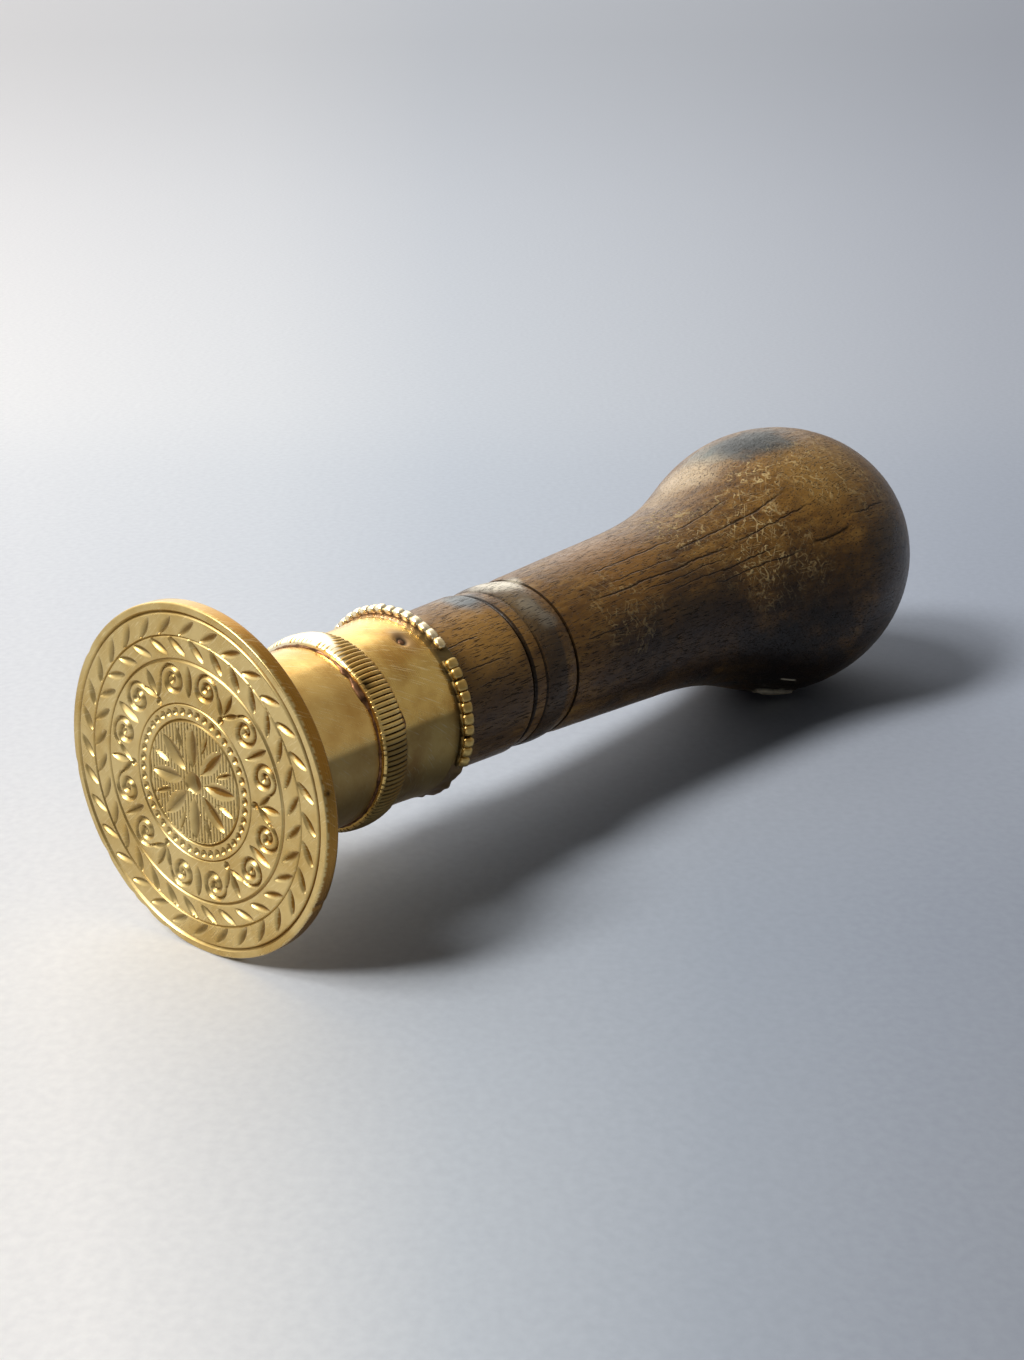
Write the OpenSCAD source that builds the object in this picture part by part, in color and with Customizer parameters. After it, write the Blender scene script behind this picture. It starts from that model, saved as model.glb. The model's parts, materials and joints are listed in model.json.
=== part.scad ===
// Hand seal for a desk: an engraved disc, a soldered collar and a turned wooden handle.
// The seal lies on its side, on the rim of the disc and on the worn flat under the bulb.
// The long axis runs along X, from the disc to the bulb.

/* [Die] */
// Diameter of the engraved disc
die_d = 38; // [32:0.5:44]
// Thickness of the disc
die_t = 1.8; // [1.4:0.1:3]
// Bevel worn round both edges of the disc
die_bevel = 0.25; // [0.1:0.05:0.5]
// Depth of every engraved cut
cut_depth = 0.3; // [0.15:0.05:0.6]
// Width of the engraved ring lines
line_cut_w = 0.4; // [0.2:0.05:0.8]
// Distance from the rim to the border line
border_inset = 1; // [0.6:0.1:2]
// Number of leaves in each row of the engraved wreath
leaf_count = 32; // [16:1:36]
// Length of one engraved leaf
leaf_len = 3; // [2:0.1:3.6]
// Width of one engraved leaf at its middle
leaf_w = 1.05; // [0.6:0.05:1.2]
// Lean of a leaf from the radius
leaf_lean = 52; // [45:1:60]
// Gap between the middle of the wreath and the leaves of either row
stem_gap = 0.13; // [0.08:0.01:0.3]
// Plain ground left between one band of engraving and the next
ground_w = 0.5; // [0.3:0.05:0.7]
// Number of pearls in the engraved ring round the rosette
pearl_count = 44; // [24:1:48]
// Diameter of one engraved pearl
pearl_d = 0.84; // [0.5:0.02:0.9]
// Number of petals in the engraved rosette
petal_count = 8; // [5:1:10]
// Length of one engraved petal
petal_len = 4.6; // [3:0.1:4.8]
// Width of one engraved petal at its middle
petal_w = 1.8; // [0.8:0.1:2]
// Plain ground between the petals and the eye
petal_gap = 0.4; // [0.3:0.05:0.6]
// Diameter of the engraved eye of the rosette
eye_d = 2.4; // [1:0.1:2.6]

/* [Collar] */
// Wall of both sleeves
sleeve_wall = 0.9; // [0.5:0.05:1.5]
// Length of the front sleeve, from the disc to the joint under the ring
front_sleeve_len = 17.2; // [12:0.1:24]
// Length of the rear sleeve, from the joint under the ring to the lip
rear_sleeve_len = 10.1; // [7:0.1:16]
// How far the rear sleeve flares out at the lip
flare_h = 0.4; // [0:0.05:1]
// Width of the reeded ring
ring_w = 3.8; // [2:0.1:6]
// Height of the reeded ring over the sleeve
ring_h = 0.95; // [0.6:0.05:2]
// Height of the ring's straight edge below its round top
ring_edge_h = 0.35; // [0.2:0.05:0.5]
// Number of reeds round the ring
reed_count = 116; // [60:1:140]
// Depth of the cut between two reeds
reed_depth = 0.26; // [0.1:0.02:0.4]
// Width of the solder seam along each edge of the ring
seam_w = 0.75; // [0.3:0.05:1.5]
// Height of the solder seam against the ring
seam_h = 0.34; // [0.1:0.02:0.6]
// Width and height of the solder seam between disc and sleeve
die_seam_w = 0.7; // [0.3:0.05:1.5]
// Length of the flared lip
lip_len = 2.1; // [1.2:0.1:4]
// How far the lip flares out
lip_h = 0.6; // [0.2:0.05:1.2]
// Thickness of the lip's outer edge
lip_edge = 0.3; // [0.2:0.05:0.6]
// Length of the lip's seat on the shank
lip_seat = 1; // [0.5:0.05:1.2]

/* [Beaded wire] */
// Number of beads that a whole turn of the wire would hold
bead_turn_count = 54; // [36:1:72]
// Length of one bead along the lip
bead_len = 1.35; // [1:0.05:1.45]
// How far the wire sits behind the middle of the lip
bead_set = 0.2; // [0:0.02:0.22]
// Height of one bead over the lip
bead_h = 0.75; // [0.4:0.05:1.2]
// Share of the spacing that a bead fills
bead_fill = 0.8; // [0.6:0.05:0.9]
// Height of the strip that joins the beads
strip_h = 0.3; // [0.15:0.05:0.38]
// Beads left in the upper run
upper_bead_count = 30; // [8:1:32]
// Beads left in the lower run
lower_bead_count = 10; // [2:1:14]
// Angle from the top to the end of the upper run, towards the front
upper_run_end = 41; // [30:1:44]
// Angle from the top to the start of the lower run, towards the front
lower_run_start = 48; // [46:1:60]

/* [Pins] */
// Number of pins through the rear sleeve
pin_count = 2; // [1:1:4]
// Diameter of a pin
pin_d = 1.1; // [0.6:0.1:1.8]
// How far a pin goes into the wood
pin_depth = 4.5; // [2:0.1:5.5]
// Distance of the pins from the lip
pin_inset = 2; // [1.2:0.1:4]
// Angle from the top to the first pin, towards the front
pin_angle = 24; // [0:1:90]

/* [Inside] */
// Diameter of the tang
tang_d = 5; // [3:0.1:7]
// Length of the tang, from the back of the disc
tang_len = 38; // [26:0.5:60]
// Diameter of the tang's foot on the disc
tang_foot_d = 11; // [8:0.5:14]
// Thickness of the tang's foot
tang_foot_t = 1.2; // [0.6:0.1:2]
// Length of the tenon inside the collar
tenon_len = 20; // [15:0.5:22]
// Gap that solder or cement fills between two fitted pieces
fit_gap = 0.05; // [0.02:0.01:0.1]

/* [Handle] */
// Diameter of the tenon and of the shank where it leaves the collar
shank_d = 18.4; // [16:0.1:22]
// Diameter of the shank at its shoulder
shoulder_d = 19.5; // [18.6:0.1:24]
// Length of shank from the collar to the groove
shank_len = 11.6; // [8:0.1:18]
// Rounding of the shoulder and of the groove's far edge
shoulder_round = 0.7; // [0.4:0.05:1]
// Width of the groove's floor
groove_w = 0.5; // [0.2:0.05:1.5]
// Depth of the groove under the fillet
groove_depth = 0.8; // [0.3:0.05:1.2]
// Width of the flat fillet before the band
fillet_w = 1.3; // [0.6:0.1:3]
// Diameter of the fillet
fillet_d = 19.1; // [18:0.1:22]
// Width of the rounded band
band_w = 5.5; // [3:0.1:9]
// Diameter of the band at its edges
band_d = 19.1; // [18:0.1:23]
// Height of the band's crown over its edges
band_crown = 0.3; // [0.1:0.05:1]
// Width of the thin turned line behind the band
turned_line_w = 0.4; // [0.2:0.05:0.8]
// Depth of the thin turned line
turned_line_depth = 0.4; // [0.2:0.05:0.8]
// Diameter of the waist behind the line
waist_d = 19.6; // [17:0.1:23]
// Length of the waist's straight taper
taper_len = 23.2; // [14:0.1:32]
// Diameter at the end of the taper
taper_d = 22.1; // [19:0.1:26]
// Length of the swell, from the taper to the bulb's widest place
swell_len = 32.9; // [24:0.1:44]
// How far the taper's line leads into the swell
swell_lead = 19; // [8:0.5:22]
// How far the bulb's line leads back into the swell
bulb_lead = 9.7; // [4:0.1:16]
// Diameter of the bulb
bulb_d = 36.9; // [30:0.1:44]
// Length of the bulb behind its widest place
bulb_tail = 22.2; // [16:0.1:30]
// Depth of the worn flat under the bulb
wear_flat = 0.2; // [0.1:0.05:0.5]

/* [Hidden] */

$fn = 96;
full_turn = 360;
half_turn = 180;
quarter_turn = 90;
// Steps along each kind of curve
swell_steps = 22;
tail_steps = 20;
round_steps = 6;
arch_steps = 8;
flare_steps = 5;
pearl_sides = 24;
// Cutters run this far past the surface they cut
overrun = 1;

die_r = die_d / 2;
shank_r = shank_d / 2;
bore_r = shank_r + fit_gap;
sleeve_r = bore_r + sleeve_wall;
flare_r = sleeve_r + flare_h;
lip_r = flare_r + lip_h;
seat_r = sleeve_r + fit_gap;
ring_r = seat_r + ring_h;
bulb_r = bulb_d / 2;

// Stations along the axis, from the engraved face
joint_z = die_t + front_sleeve_len;
ring_front_z = joint_z - ring_w / 2;
ring_rear_z = joint_z + ring_w / 2;
lip_z = joint_z + rear_sleeve_len;
collar_end_z = lip_z + lip_len;
tenon_z = collar_end_z - tenon_len;
tang_end_z = die_t + tang_len;
pin_z = lip_z - pin_inset;
groove_z = collar_end_z + shank_len;
fillet_z = groove_z + 2 * shoulder_round + groove_w;
band_z = fillet_z + fillet_w;
turned_line_z = band_z + band_w;
waist_z = turned_line_z + turned_line_w;
swell_z = waist_z + taper_len;
bulb_z = swell_z + swell_len;

// Engraved bands, from the rim to the middle
border_r = die_r - border_inset;
wreath_half = stem_gap + leaf_len * cos(leaf_lean);
wreath_r = border_r - ground_w - wreath_half;
row_offset = stem_gap + leaf_len * cos(leaf_lean) / 2;
medallion_r = wreath_r - wreath_half - ground_w;
rosette_r = eye_d / 2 + petal_gap + petal_len / 2;
rosette_edge_r = rosette_r + petal_len / 2 + ground_w;
pearl_ring_r = rosette_edge_r + ground_w + pearl_d / 2;

// The slope of the taper and the curve that leads it into the bulb
taper_slope = (taper_d - waist_d) / 2 / taper_len;
swell_curve = [
    [taper_d / 2, swell_z],
    [taper_d / 2 + taper_slope * swell_lead, swell_z + swell_lead],
    [bulb_r, bulb_z - bulb_lead],
    [bulb_r, bulb_z]
];

// The seal dips towards the end with the smaller radius until both ends touch the floor
rest_r = bulb_r - wear_flat;
rest_edge_z = die_r >= rest_r ? die_t - die_bevel : die_bevel;
lay_tilt = atan((die_r - rest_r) / (bulb_z - rest_edge_z));
lay_lift = rest_edge_z * sin(lay_tilt) + die_r * cos(lay_tilt);
lay_min_x = -(die_r - die_bevel) * abs(sin(lay_tilt));
lay_max_x = bulb_z * cos(lay_tilt) + norm([bulb_tail * cos(lay_tilt), bulb_r * sin(lay_tilt)]);
lay_mid_x = (lay_min_x + lay_max_x) / 2;

// The beads stand on the lip's slope
lip_run = lip_len - lip_edge;
lip_lean = atan(lip_h / lip_run);
wire_place = [flare_r + lip_h / 2, lip_z + lip_run / 2] + bead_set * [sin(lip_lean), cos(lip_lean)];
bead_pitch = full_turn / bead_turn_count;
bead_angle = bead_pitch * bead_fill;

// Colours as the photograph shows them
gilt = "#c8a34c";
worn_gilt = "#b3924a";
copper = "#9a6a4c";
wood = "#5f4122";
pitch = "#2c2019";
steel = "#6f6659";

// A point on the cubic curve with four control points
function curve_point(p, t) =
    pow(1 - t, 3) * p[0] + 3 * pow(1 - t, 2) * t * p[1] + 3 * (1 - t) * t * t * p[2] + pow(t, 3) * p[3];

// Points of a quarter or half round, as offsets from its centre
function arc_points(centre, rx, rz, from, to, steps) =
    [for (i = [0:steps]) let (a = from + (to - from) * i / steps) centre + [rx * cos(a), rz * sin(a)]];

// Angle in the turning frame of a place measured from the top towards the front
function from_top(angle) = half_turn + angle;

// Puts a piece turned about Z on its side, on the floor
module lay() {
    translate([-lay_mid_x, 0, lay_lift])
        rotate([0, quarter_turn + lay_tilt, 0])
            children();
}

// A plain ring between two radii
module tube(r_in, r_out, z0, z1) {
    translate([0, 0, z0])
        rotate_extrude()
            translate([r_in, 0])
                square([r_out - r_in, z1 - z0]);
}

// A leaf-shaped cutter that points along X, at the engraved face
module leaf_cutter(len, w) {
    leaf_r = (len * len + w * w) / (4 * w);
    translate([0, 0, -overrun])
        intersection() {
            translate([0, leaf_r - w / 2, 0])
                cylinder(r = leaf_r, h = overrun + cut_depth);
            translate([0, w / 2 - leaf_r, 0])
                cylinder(r = leaf_r, h = overrun + cut_depth);
        }
}

// A ring line cut into the engraved face
module ring_cutter(r) {
    tube(r - line_cut_w / 2, r + line_cut_w / 2, -overrun, cut_depth);
}

// A round hollow cut into the engraved face
module pearl_cutter(d) {
    translate([0, 0, -overrun])
        cylinder(d = d, h = overrun + cut_depth, $fn = pearl_sides);
}

// One row of the wreath's leaves, leaning to one side
module leaf_row(r, lean, start) {
    for (i = [0:leaf_count - 1])
        rotate(start + i * full_turn / leaf_count)
            translate([r, 0, 0])
                rotate(lean)
                    leaf_cutter(leaf_len, leaf_w);
}

// The engraved disc, face down at z = 0 in the turning frame
module seal_die() {
    color(gilt)
        lay()
            difference() {
                rotate_extrude()
                    polygon([
                        [0, 0],
                        [die_r - die_bevel, 0],
                        [die_r, die_bevel],
                        [die_r, die_t - die_bevel],
                        [die_r - die_bevel, die_t],
                        [0, die_t]
                    ]);
                ring_cutter(border_r);
                ring_cutter(medallion_r);
                ring_cutter(rosette_edge_r);
                leaf_row(wreath_r + row_offset, leaf_lean, 0);
                leaf_row(wreath_r - row_offset, -leaf_lean, half_turn / leaf_count);
                for (i = [0:pearl_count - 1])
                    rotate(i * full_turn / pearl_count)
                        translate([pearl_ring_r, 0, 0])
                            pearl_cutter(pearl_d);
                for (i = [0:petal_count - 1])
                    rotate(i * full_turn / petal_count)
                        translate([rosette_r, 0, 0])
                            leaf_cutter(petal_len, petal_w);
                pearl_cutter(eye_d);
            }
}

// The stud behind the disc, with its foot
module die_tang() {
    color(steel)
        lay()
            translate([0, 0, die_t])
                union() {
                    cylinder(d = tang_foot_d, h = tang_foot_t);
                    cylinder(d = tang_d, h = tang_len);
                }
}

// Solder in the corner between the disc and the front sleeve
module die_seam() {
    color(copper)
        lay()
            rotate_extrude()
                polygon([
                    [seat_r, die_t],
                    [seat_r + die_seam_w, die_t],
                    [seat_r, die_t + die_seam_w]
                ]);
}

// Cement that fills the front sleeve round the tang
module cement_fill() {
    color(pitch)
        lay()
            difference() {
                tube(0, bore_r - fit_gap, die_t, tenon_z);
                translate([0, 0, die_t - overrun])
                    cylinder(d = tang_d + 2 * fit_gap, h = tenon_z - die_t + 2 * overrun);
                translate([0, 0, die_t - overrun])
                    cylinder(d = tang_foot_d + 2 * fit_gap, h = overrun + tang_foot_t);
            }
}

// The smooth sleeve between the disc and the ring
module front_sleeve() {
    color(gilt)
        lay()
            tube(bore_r, sleeve_r, die_t, joint_z);
}

// Solder along one edge of the ring, thinning out away from it
module ring_seam(edge_z, outwards) {
    rotate_extrude()
        polygon([
            [seat_r, edge_z],
            [seat_r + seam_h, edge_z],
            [seat_r + seam_h / 2, edge_z + outwards * seam_w],
            [seat_r, edge_z + outwards * seam_w]
        ]);
}

module ring_seam_front() {
    color(copper)
        lay()
            ring_seam(ring_front_z, -1);
}

module ring_seam_rear() {
    color(copper)
        lay()
            ring_seam(ring_rear_z, 1);
}

// Outline of the reeds, looking along the axis
function reed_outline() =
    let (pitch_angle = full_turn / reed_count, crest = pitch_angle / 3)
    [
        for (i = [0:reed_count - 1], k = [-1, 1, 2])
            let (a = i * pitch_angle + (k == 2 ? pitch_angle / 2 : k * crest))
            let (r = k == 2 ? ring_r - reed_depth : ring_r)
            [r * cos(a), r * sin(a)]
    ];

// The half-round ring with reeds along the axis
module reeded_ring() {
    color(gilt)
        lay()
            difference() {
                intersection() {
                    rotate_extrude()
                        polygon(concat(
                            [[0, ring_front_z]],
                            arc_points([seat_r + ring_edge_h, joint_z], ring_h - ring_edge_h, ring_w / 2,
                                       -quarter_turn, quarter_turn, arch_steps),
                            [[0, ring_rear_z]]
                        ));
                    translate([0, 0, ring_front_z - overrun])
                        linear_extrude(ring_w + 2 * overrun)
                            polygon(reed_outline());
                }
                translate([0, 0, ring_front_z - overrun])
                    cylinder(r = seat_r, h = ring_w + 2 * overrun);
            }
}

// One radial hole or pin through the collar, between two radii
module radial_bar(d, r0, r1, angle) {
    rotate(from_top(angle))
        translate([r0, 0, pin_z])
            rotate([0, quarter_turn, 0])
                cylinder(d = d, h = r1 - r0);
}

// All the bars of the pins' pattern
module pin_pattern(d, r0, r1) {
    for (i = [0:pin_count - 1])
        radial_bar(d, r0, r1, pin_angle + i * full_turn / pin_count);
}

// The second sleeve, flaring towards the lip
module rear_sleeve() {
    flare_len = lip_z - ring_rear_z;
    color(worn_gilt)
        lay()
            difference() {
                rotate_extrude()
                    polygon(concat(
                        [[bore_r, joint_z], [sleeve_r, joint_z]],
                        [for (i = [0:flare_steps])
                            let (t = i / flare_steps)
                            [sleeve_r + flare_h * t * t, ring_rear_z + seam_w + (flare_len - seam_w) * t]],
                        [[bore_r, lip_z]]
                    ));
                pin_pattern(pin_d + 2 * fit_gap, shank_r - overrun, flare_r + overrun);
            }
}

// The thin flared lip that carries the beaded wire
module rim_lip() {
    color(worn_gilt)
        lay()
            rotate_extrude()
                polygon([
                    [bore_r, lip_z],
                    [flare_r, lip_z],
                    [lip_r, lip_z + lip_run],
                    [lip_r, collar_end_z],
                    [lip_r - lip_edge, collar_end_z],
                    [bore_r, lip_z + lip_seat]
                ]);
}

// Places a flat outline on the lip's slope, height outwards along X and length along Y
module on_lip() {
    translate(wire_place)
        rotate(-lip_lean)
            translate([fit_gap, 0])
                children();
}

// One run of beads on their strip, from a place measured from the top
module bead_run(start, count) {
    run_angle = (count - 1) * bead_pitch + bead_angle;
    strip_len = bead_len / 2;
    rotate(from_top(start))
        union() {
            rotate_extrude(angle = run_angle)
                on_lip()
                    translate([0, -strip_len / 2])
                        square([strip_h, strip_len]);
            for (i = [0:count - 1])
                rotate(i * bead_pitch)
                    rotate_extrude(angle = bead_angle)
                        on_lip()
                            polygon(concat(
                                [[0, bead_len / 2], [0, -bead_len / 2]],
                                arc_points([strip_h, 0], bead_h - strip_h, bead_len / 2,
                                           -quarter_turn, quarter_turn, round_steps)
                            ));
        }
}

module bead_run_upper() {
    color(gilt)
        lay()
            bead_run(upper_run_end - (upper_bead_count - 1) * bead_pitch - bead_angle, upper_bead_count);
}

module bead_run_lower() {
    color(gilt)
        lay()
            bead_run(lower_run_start, lower_bead_count);
}

// Small pins through the rear sleeve into the tenon
module fixing_pins() {
    color(copper)
        lay()
            pin_pattern(pin_d, shank_r - pin_depth, sleeve_r);
}

// Outline of the turned handle, from the tenon to the tip of the bulb
function handle_outline() =
    let (shoulder_r = shoulder_d / 2, fillet_r = fillet_d / 2, groove_r = fillet_r - groove_depth)
    let (edge_r = band_d / 2, line_r = waist_d / 2 - turned_line_depth)
    concat(
        [[0, tenon_z], [shank_r, tenon_z], [shank_r, collar_end_z]],
        arc_points([shoulder_r - shoulder_round, groove_z], shoulder_round, shoulder_round,
                   0, quarter_turn, round_steps),
        [[groove_r, groove_z + shoulder_round], [groove_r, groove_z + shoulder_round + groove_w]],
        [[fillet_r, fillet_z], [fillet_r, band_z]],
        [for (i = [0:arch_steps])
            let (t = i / arch_steps)
            [edge_r + band_crown * sin(half_turn * t), band_z + band_w * t]],
        [[line_r, turned_line_z], [line_r, waist_z], [waist_d / 2, waist_z]],
        [for (i = [0:swell_steps]) curve_point(swell_curve, i / swell_steps)],
        [for (i = [1:tail_steps - 1])
            let (a = quarter_turn * i / tail_steps)
            [bulb_r * cos(a), bulb_z + bulb_tail * sin(a)]],
        [[0, bulb_z + bulb_tail]]
    );

// The turned handle, with the holes for tang and pins and the worn flat it lies on
module handle() {
    color(wood)
        difference() {
            lay()
                difference() {
                    rotate_extrude()
                        polygon(handle_outline());
                    translate([0, 0, tenon_z - overrun])
                        cylinder(d = tang_d + 2 * fit_gap, h = tang_end_z + fit_gap - tenon_z + overrun);
                    pin_pattern(pin_d + 2 * fit_gap, shank_r - pin_depth - fit_gap, shank_r + overrun);
                }
            translate([0, -bulb_r, -bulb_r])
                cube([bulb_z + bulb_tail, bulb_d, bulb_r]);
        }
}

seal_die();
die_tang();
die_seam();
cement_fill();
front_sleeve();
ring_seam_front();
reeded_ring();
ring_seam_rear();
rear_sleeve();
rim_lip();
bead_run_upper();
bead_run_lower();
fixing_pins();
handle();
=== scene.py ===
"""Dresses the desk seal: an engraved gilt die, a soldered and beaded collar and a turned wooden handle.

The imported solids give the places. Lengths are millimetres in the seal's own turning frame, whose Z runs
along the axis from the engraved face to the bulb, and metres once a piece is laid on the floor.
"""
import json
import logging
import math
from dataclasses import dataclass
from enum import Enum
from functools import cached_property
from typing import Any

import bmesh
import bpy
import numpy as np
from mathutils import Euler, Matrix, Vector


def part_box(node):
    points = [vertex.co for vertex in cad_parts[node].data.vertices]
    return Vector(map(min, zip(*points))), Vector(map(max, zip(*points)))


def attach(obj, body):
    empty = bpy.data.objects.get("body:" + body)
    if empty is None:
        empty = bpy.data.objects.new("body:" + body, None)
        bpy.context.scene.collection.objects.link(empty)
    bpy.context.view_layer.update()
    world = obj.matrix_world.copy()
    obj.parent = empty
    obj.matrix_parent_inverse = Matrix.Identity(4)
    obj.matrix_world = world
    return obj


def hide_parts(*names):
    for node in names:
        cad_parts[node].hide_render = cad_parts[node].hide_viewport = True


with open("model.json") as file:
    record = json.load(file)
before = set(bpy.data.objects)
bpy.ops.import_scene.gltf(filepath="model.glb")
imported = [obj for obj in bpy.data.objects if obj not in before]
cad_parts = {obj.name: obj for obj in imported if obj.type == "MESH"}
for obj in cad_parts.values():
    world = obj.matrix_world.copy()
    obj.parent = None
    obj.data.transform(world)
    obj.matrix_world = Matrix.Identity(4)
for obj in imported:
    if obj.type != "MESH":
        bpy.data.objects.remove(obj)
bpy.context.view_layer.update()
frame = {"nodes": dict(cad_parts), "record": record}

LOG = logging.getLogger("desk_seal")

BODY = "root"
MM = 0.001
TO_MM = 1.0 / MM
FULL_TURN = 2.0 * math.pi
# Points closer than this are one point, where an outline meets the axis or itself
MERGE_MM = 0.002
# Edges bent by more than this stay sharp, on a turned piece and on the engraved disc
TURNED_EDGE, CUT_EDGE = math.radians(38.0), math.radians(50.0)
# Angles of the steps that round an edge over
ROUNDING = (0.5, 1.0, math.pi / 2.0)
# Names of what the points of a piece carry for its finish: a dark layer of dirt and painted shade,
# a pale layer of coppery metal and painted highlight, and bare wood
GRIME_AND_SHADE, COPPER_AND_HIGHLIGHT, BARE = "grime_and_shade", "copper", "bare"
# In sizes of a patch: how far its edge frays, and where it is full and where it has ended, fray included
PATCH_FRAY, PATCH_REACH = 1.6, (1.1, 2.0)
# In half-widths of a stripe: where it is full and where it has ended
STRIPE_REACH = (0.75, 1.15)
# Socket numbers of the Mix node when it mixes colours
MIX_FACTOR, MIX_A, MIX_B, MIX_RESULT = 0, 6, 7, 2

Outline = list[tuple[float, float]]
Socket = bpy.types.NodeSocket


class Slot(Enum):
    """The record's material slots that the dressed pieces use."""

    GILT = "gilt_brass"
    WORN_GILT = "worn_gilt_brass"
    SOLDER = "solder"
    WOOD = "stained_wood"


def linear(code: str) -> tuple[float, float, float, float]:
    """Turns an sRGB hex colour to linear red, green, blue and alpha.

    Args:
        code: The colour as #rrggbb.

    Returns:
        The four channels that a colour socket takes.
    """
    channels = [int(code[i:i + 2], 16) / 255.0 for i in (1, 3, 5)]
    red, green, blue = (c / 12.92 if c <= 0.04045 else ((c + 0.055) / 1.055) ** 2.4 for c in channels)
    return red, green, blue, 1.0


def add(tree: bpy.types.NodeTree, kind: str, sockets: dict[Any, Any] | None = None,
        stops: list[tuple[float, Any]] | None = None, **settings: Any) -> bpy.types.Node:
    """Adds one node with its settings, values and links.

    Args:
        tree: The node tree that gets the node.
        kind: The node's type name.
        sockets: Inputs by name or number, each a value or the socket that feeds it.
        stops: Places and colours of a colour ramp, from low to high.
        **settings: The node's own options.

    Returns:
        The new node.
    """
    node = tree.nodes.new(kind)
    for name, value in settings.items():
        setattr(node, name, value)
    for key, value in (sockets or {}).items():
        if isinstance(value, Socket):
            tree.links.new(value, node.inputs[key])
        else:
            node.inputs[key].default_value = value
    for index, (place, colour) in enumerate(stops or []):
        elements = node.color_ramp.elements
        element = elements[index] if index < len(elements) else elements.new(place)
        element.position = place
        element.color = colour
    return node


@dataclass(frozen=True)
class TurningAxis:
    """The line that the seal was turned about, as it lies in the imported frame."""

    origin: Vector
    tilt: float

    @classmethod
    def from_frame(cls) -> "TurningAxis":
        """Reads the axis from the die's mount and box.

        Returns:
            The axis, with its origin at the middle of the engraved face.
        """
        mount = next(m for m in frame["record"]["mounts"] if m["name"] == "die_face")
        along = -Vector(mount["axis"]).normalized()
        low, high = (Vector(corner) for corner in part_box("seal_die"))
        middle = (low + high) / 2.0
        face = middle - along * (middle - Vector(mount["pos_m"])).dot(along)
        return cls(origin=face * TO_MM, tilt=math.asin(-along.z))

    @property
    def turn(self) -> tuple[float, float, float]:
        """The turn that lays the axis down, as Euler angles."""
        return 0.0, math.pi / 2.0 + self.tilt, 0.0

    def span(self, node: str) -> tuple[float, float, float]:
        """Measures a turned solid of the frame.

        Args:
            node: The name of the solid.

        Returns:
            Its first and last station along the axis and its largest radius.
        """
        low, high = (Vector(corner) * TO_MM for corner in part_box(node))
        radius = (high.y - low.y) / 2.0
        reach = radius * abs(math.sin(self.tilt))
        start = (low.x - self.origin.x + reach) / math.cos(self.tilt)
        end = (high.x - self.origin.x - reach) / math.cos(self.tilt)
        return start, end, radius

    def lay(self, points: np.ndarray) -> np.ndarray:
        """Lays points of the turning frame on the floor.

        Args:
            points: Rows of x, y and z in millimetres.

        Returns:
            The same points in metres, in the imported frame.
        """
        lying = points @ np.array(Euler(self.turn).to_matrix()).T
        return (lying + np.array(self.origin)) * MM


AXIS = TurningAxis.from_frame()


def round_place(station: np.ndarray | float, radius: np.ndarray | float,
                angle: np.ndarray | float) -> np.ndarray:
    """Finds places round the axis.

    Args:
        station: Distance along the axis from the engraved face.
        radius: Distance from the axis.
        angle: Angle from the top towards the front, in radians.

    Returns:
        Rows of x, y and z in the turning frame.
    """
    station, radius, angle = np.broadcast_arrays(station, radius, angle)
    return np.stack([-radius * np.cos(angle), -radius * np.sin(angle), station], axis=-1)


def apart(angle: np.ndarray, middle: float) -> np.ndarray:
    """Measures angles in degrees from one angle, within half a turn either way."""
    return (angle - middle + 180.0) % 360.0 - 180.0


def arc(centre: tuple[float, float], reach: tuple[float, float], start: float, end: float,
        steps: int) -> Outline:
    """Draws part of an ellipse in an outline.

    Args:
        centre: Station and radius of the middle.
        reach: Half-width along the axis and half-height away from it.
        start: First angle in degrees, where 90 points away from the axis.
        end: Last angle in degrees.
        steps: Number of chords.

    Returns:
        The points from start to end.
    """
    angles = np.radians(np.linspace(start, end, steps + 1))
    return [(centre[0] + reach[0] * math.cos(a), centre[1] + reach[1] * math.sin(a)) for a in angles]


def refined(outline: Outline, step: float) -> Outline:
    """Splits the long stretches of an outline.

    Args:
        outline: Stations and radii in order.
        step: The longest stretch that is left.

    Returns:
        The outline with the added points.
    """
    fine = [outline[0]]
    for (s0, r0), (s1, r1) in zip(outline, outline[1:]):
        count = max(1, math.ceil(math.hypot(s1 - s0, r1 - r0) / step))
        fine += [(s0 + (s1 - s0) * i / count, r0 + (r1 - r0) * i / count) for i in range(1, count + 1)]
    return fine


def laid_down(tree: bpy.types.NodeTree, shape: Socket, finish: Socket) -> Socket:
    """Ends a node tree: lays the shape on the floor and gives it its finish.

    Args:
        tree: The tree.
        shape: The shape in the turning frame.
        finish: The material.

    Returns:
        The finished shape.
    """
    lying = add(tree, "GeometryNodeTransform", {
        "Geometry": shape, "Translation": AXIS.origin * MM, "Rotation": AXIS.turn, "Scale": (MM, MM, MM)})
    smooth = add(tree, "GeometryNodeSetShadeSmooth", {"Geometry": lying.outputs[0]})
    real = add(tree, "GeometryNodeRealizeInstances", {"Geometry": smooth.outputs[0]})
    return add(tree, "GeometryNodeSetMaterial", {
        "Geometry": real.outputs[0], "Material": finish}).outputs[0]


def new_tree(name: str, inputs: dict[str, str]) -> tuple[bpy.types.NodeTree, bpy.types.Node]:
    """Starts a geometry tree with named inputs.

    Args:
        name: The tree's name.
        inputs: Names of the inputs with the last word of their socket type.

    Returns:
        The tree and its input node.
    """
    tree = bpy.data.node_groups.new(name, "GeometryNodeTree")
    for label, kind in inputs.items():
        tree.interface.new_socket(label, in_out="INPUT", socket_type="NodeSocket" + kind)
    tree.interface.new_socket("Shape", in_out="OUTPUT", socket_type="NodeSocketGeometry")
    return tree, add(tree, "NodeGroupInput")


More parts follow.
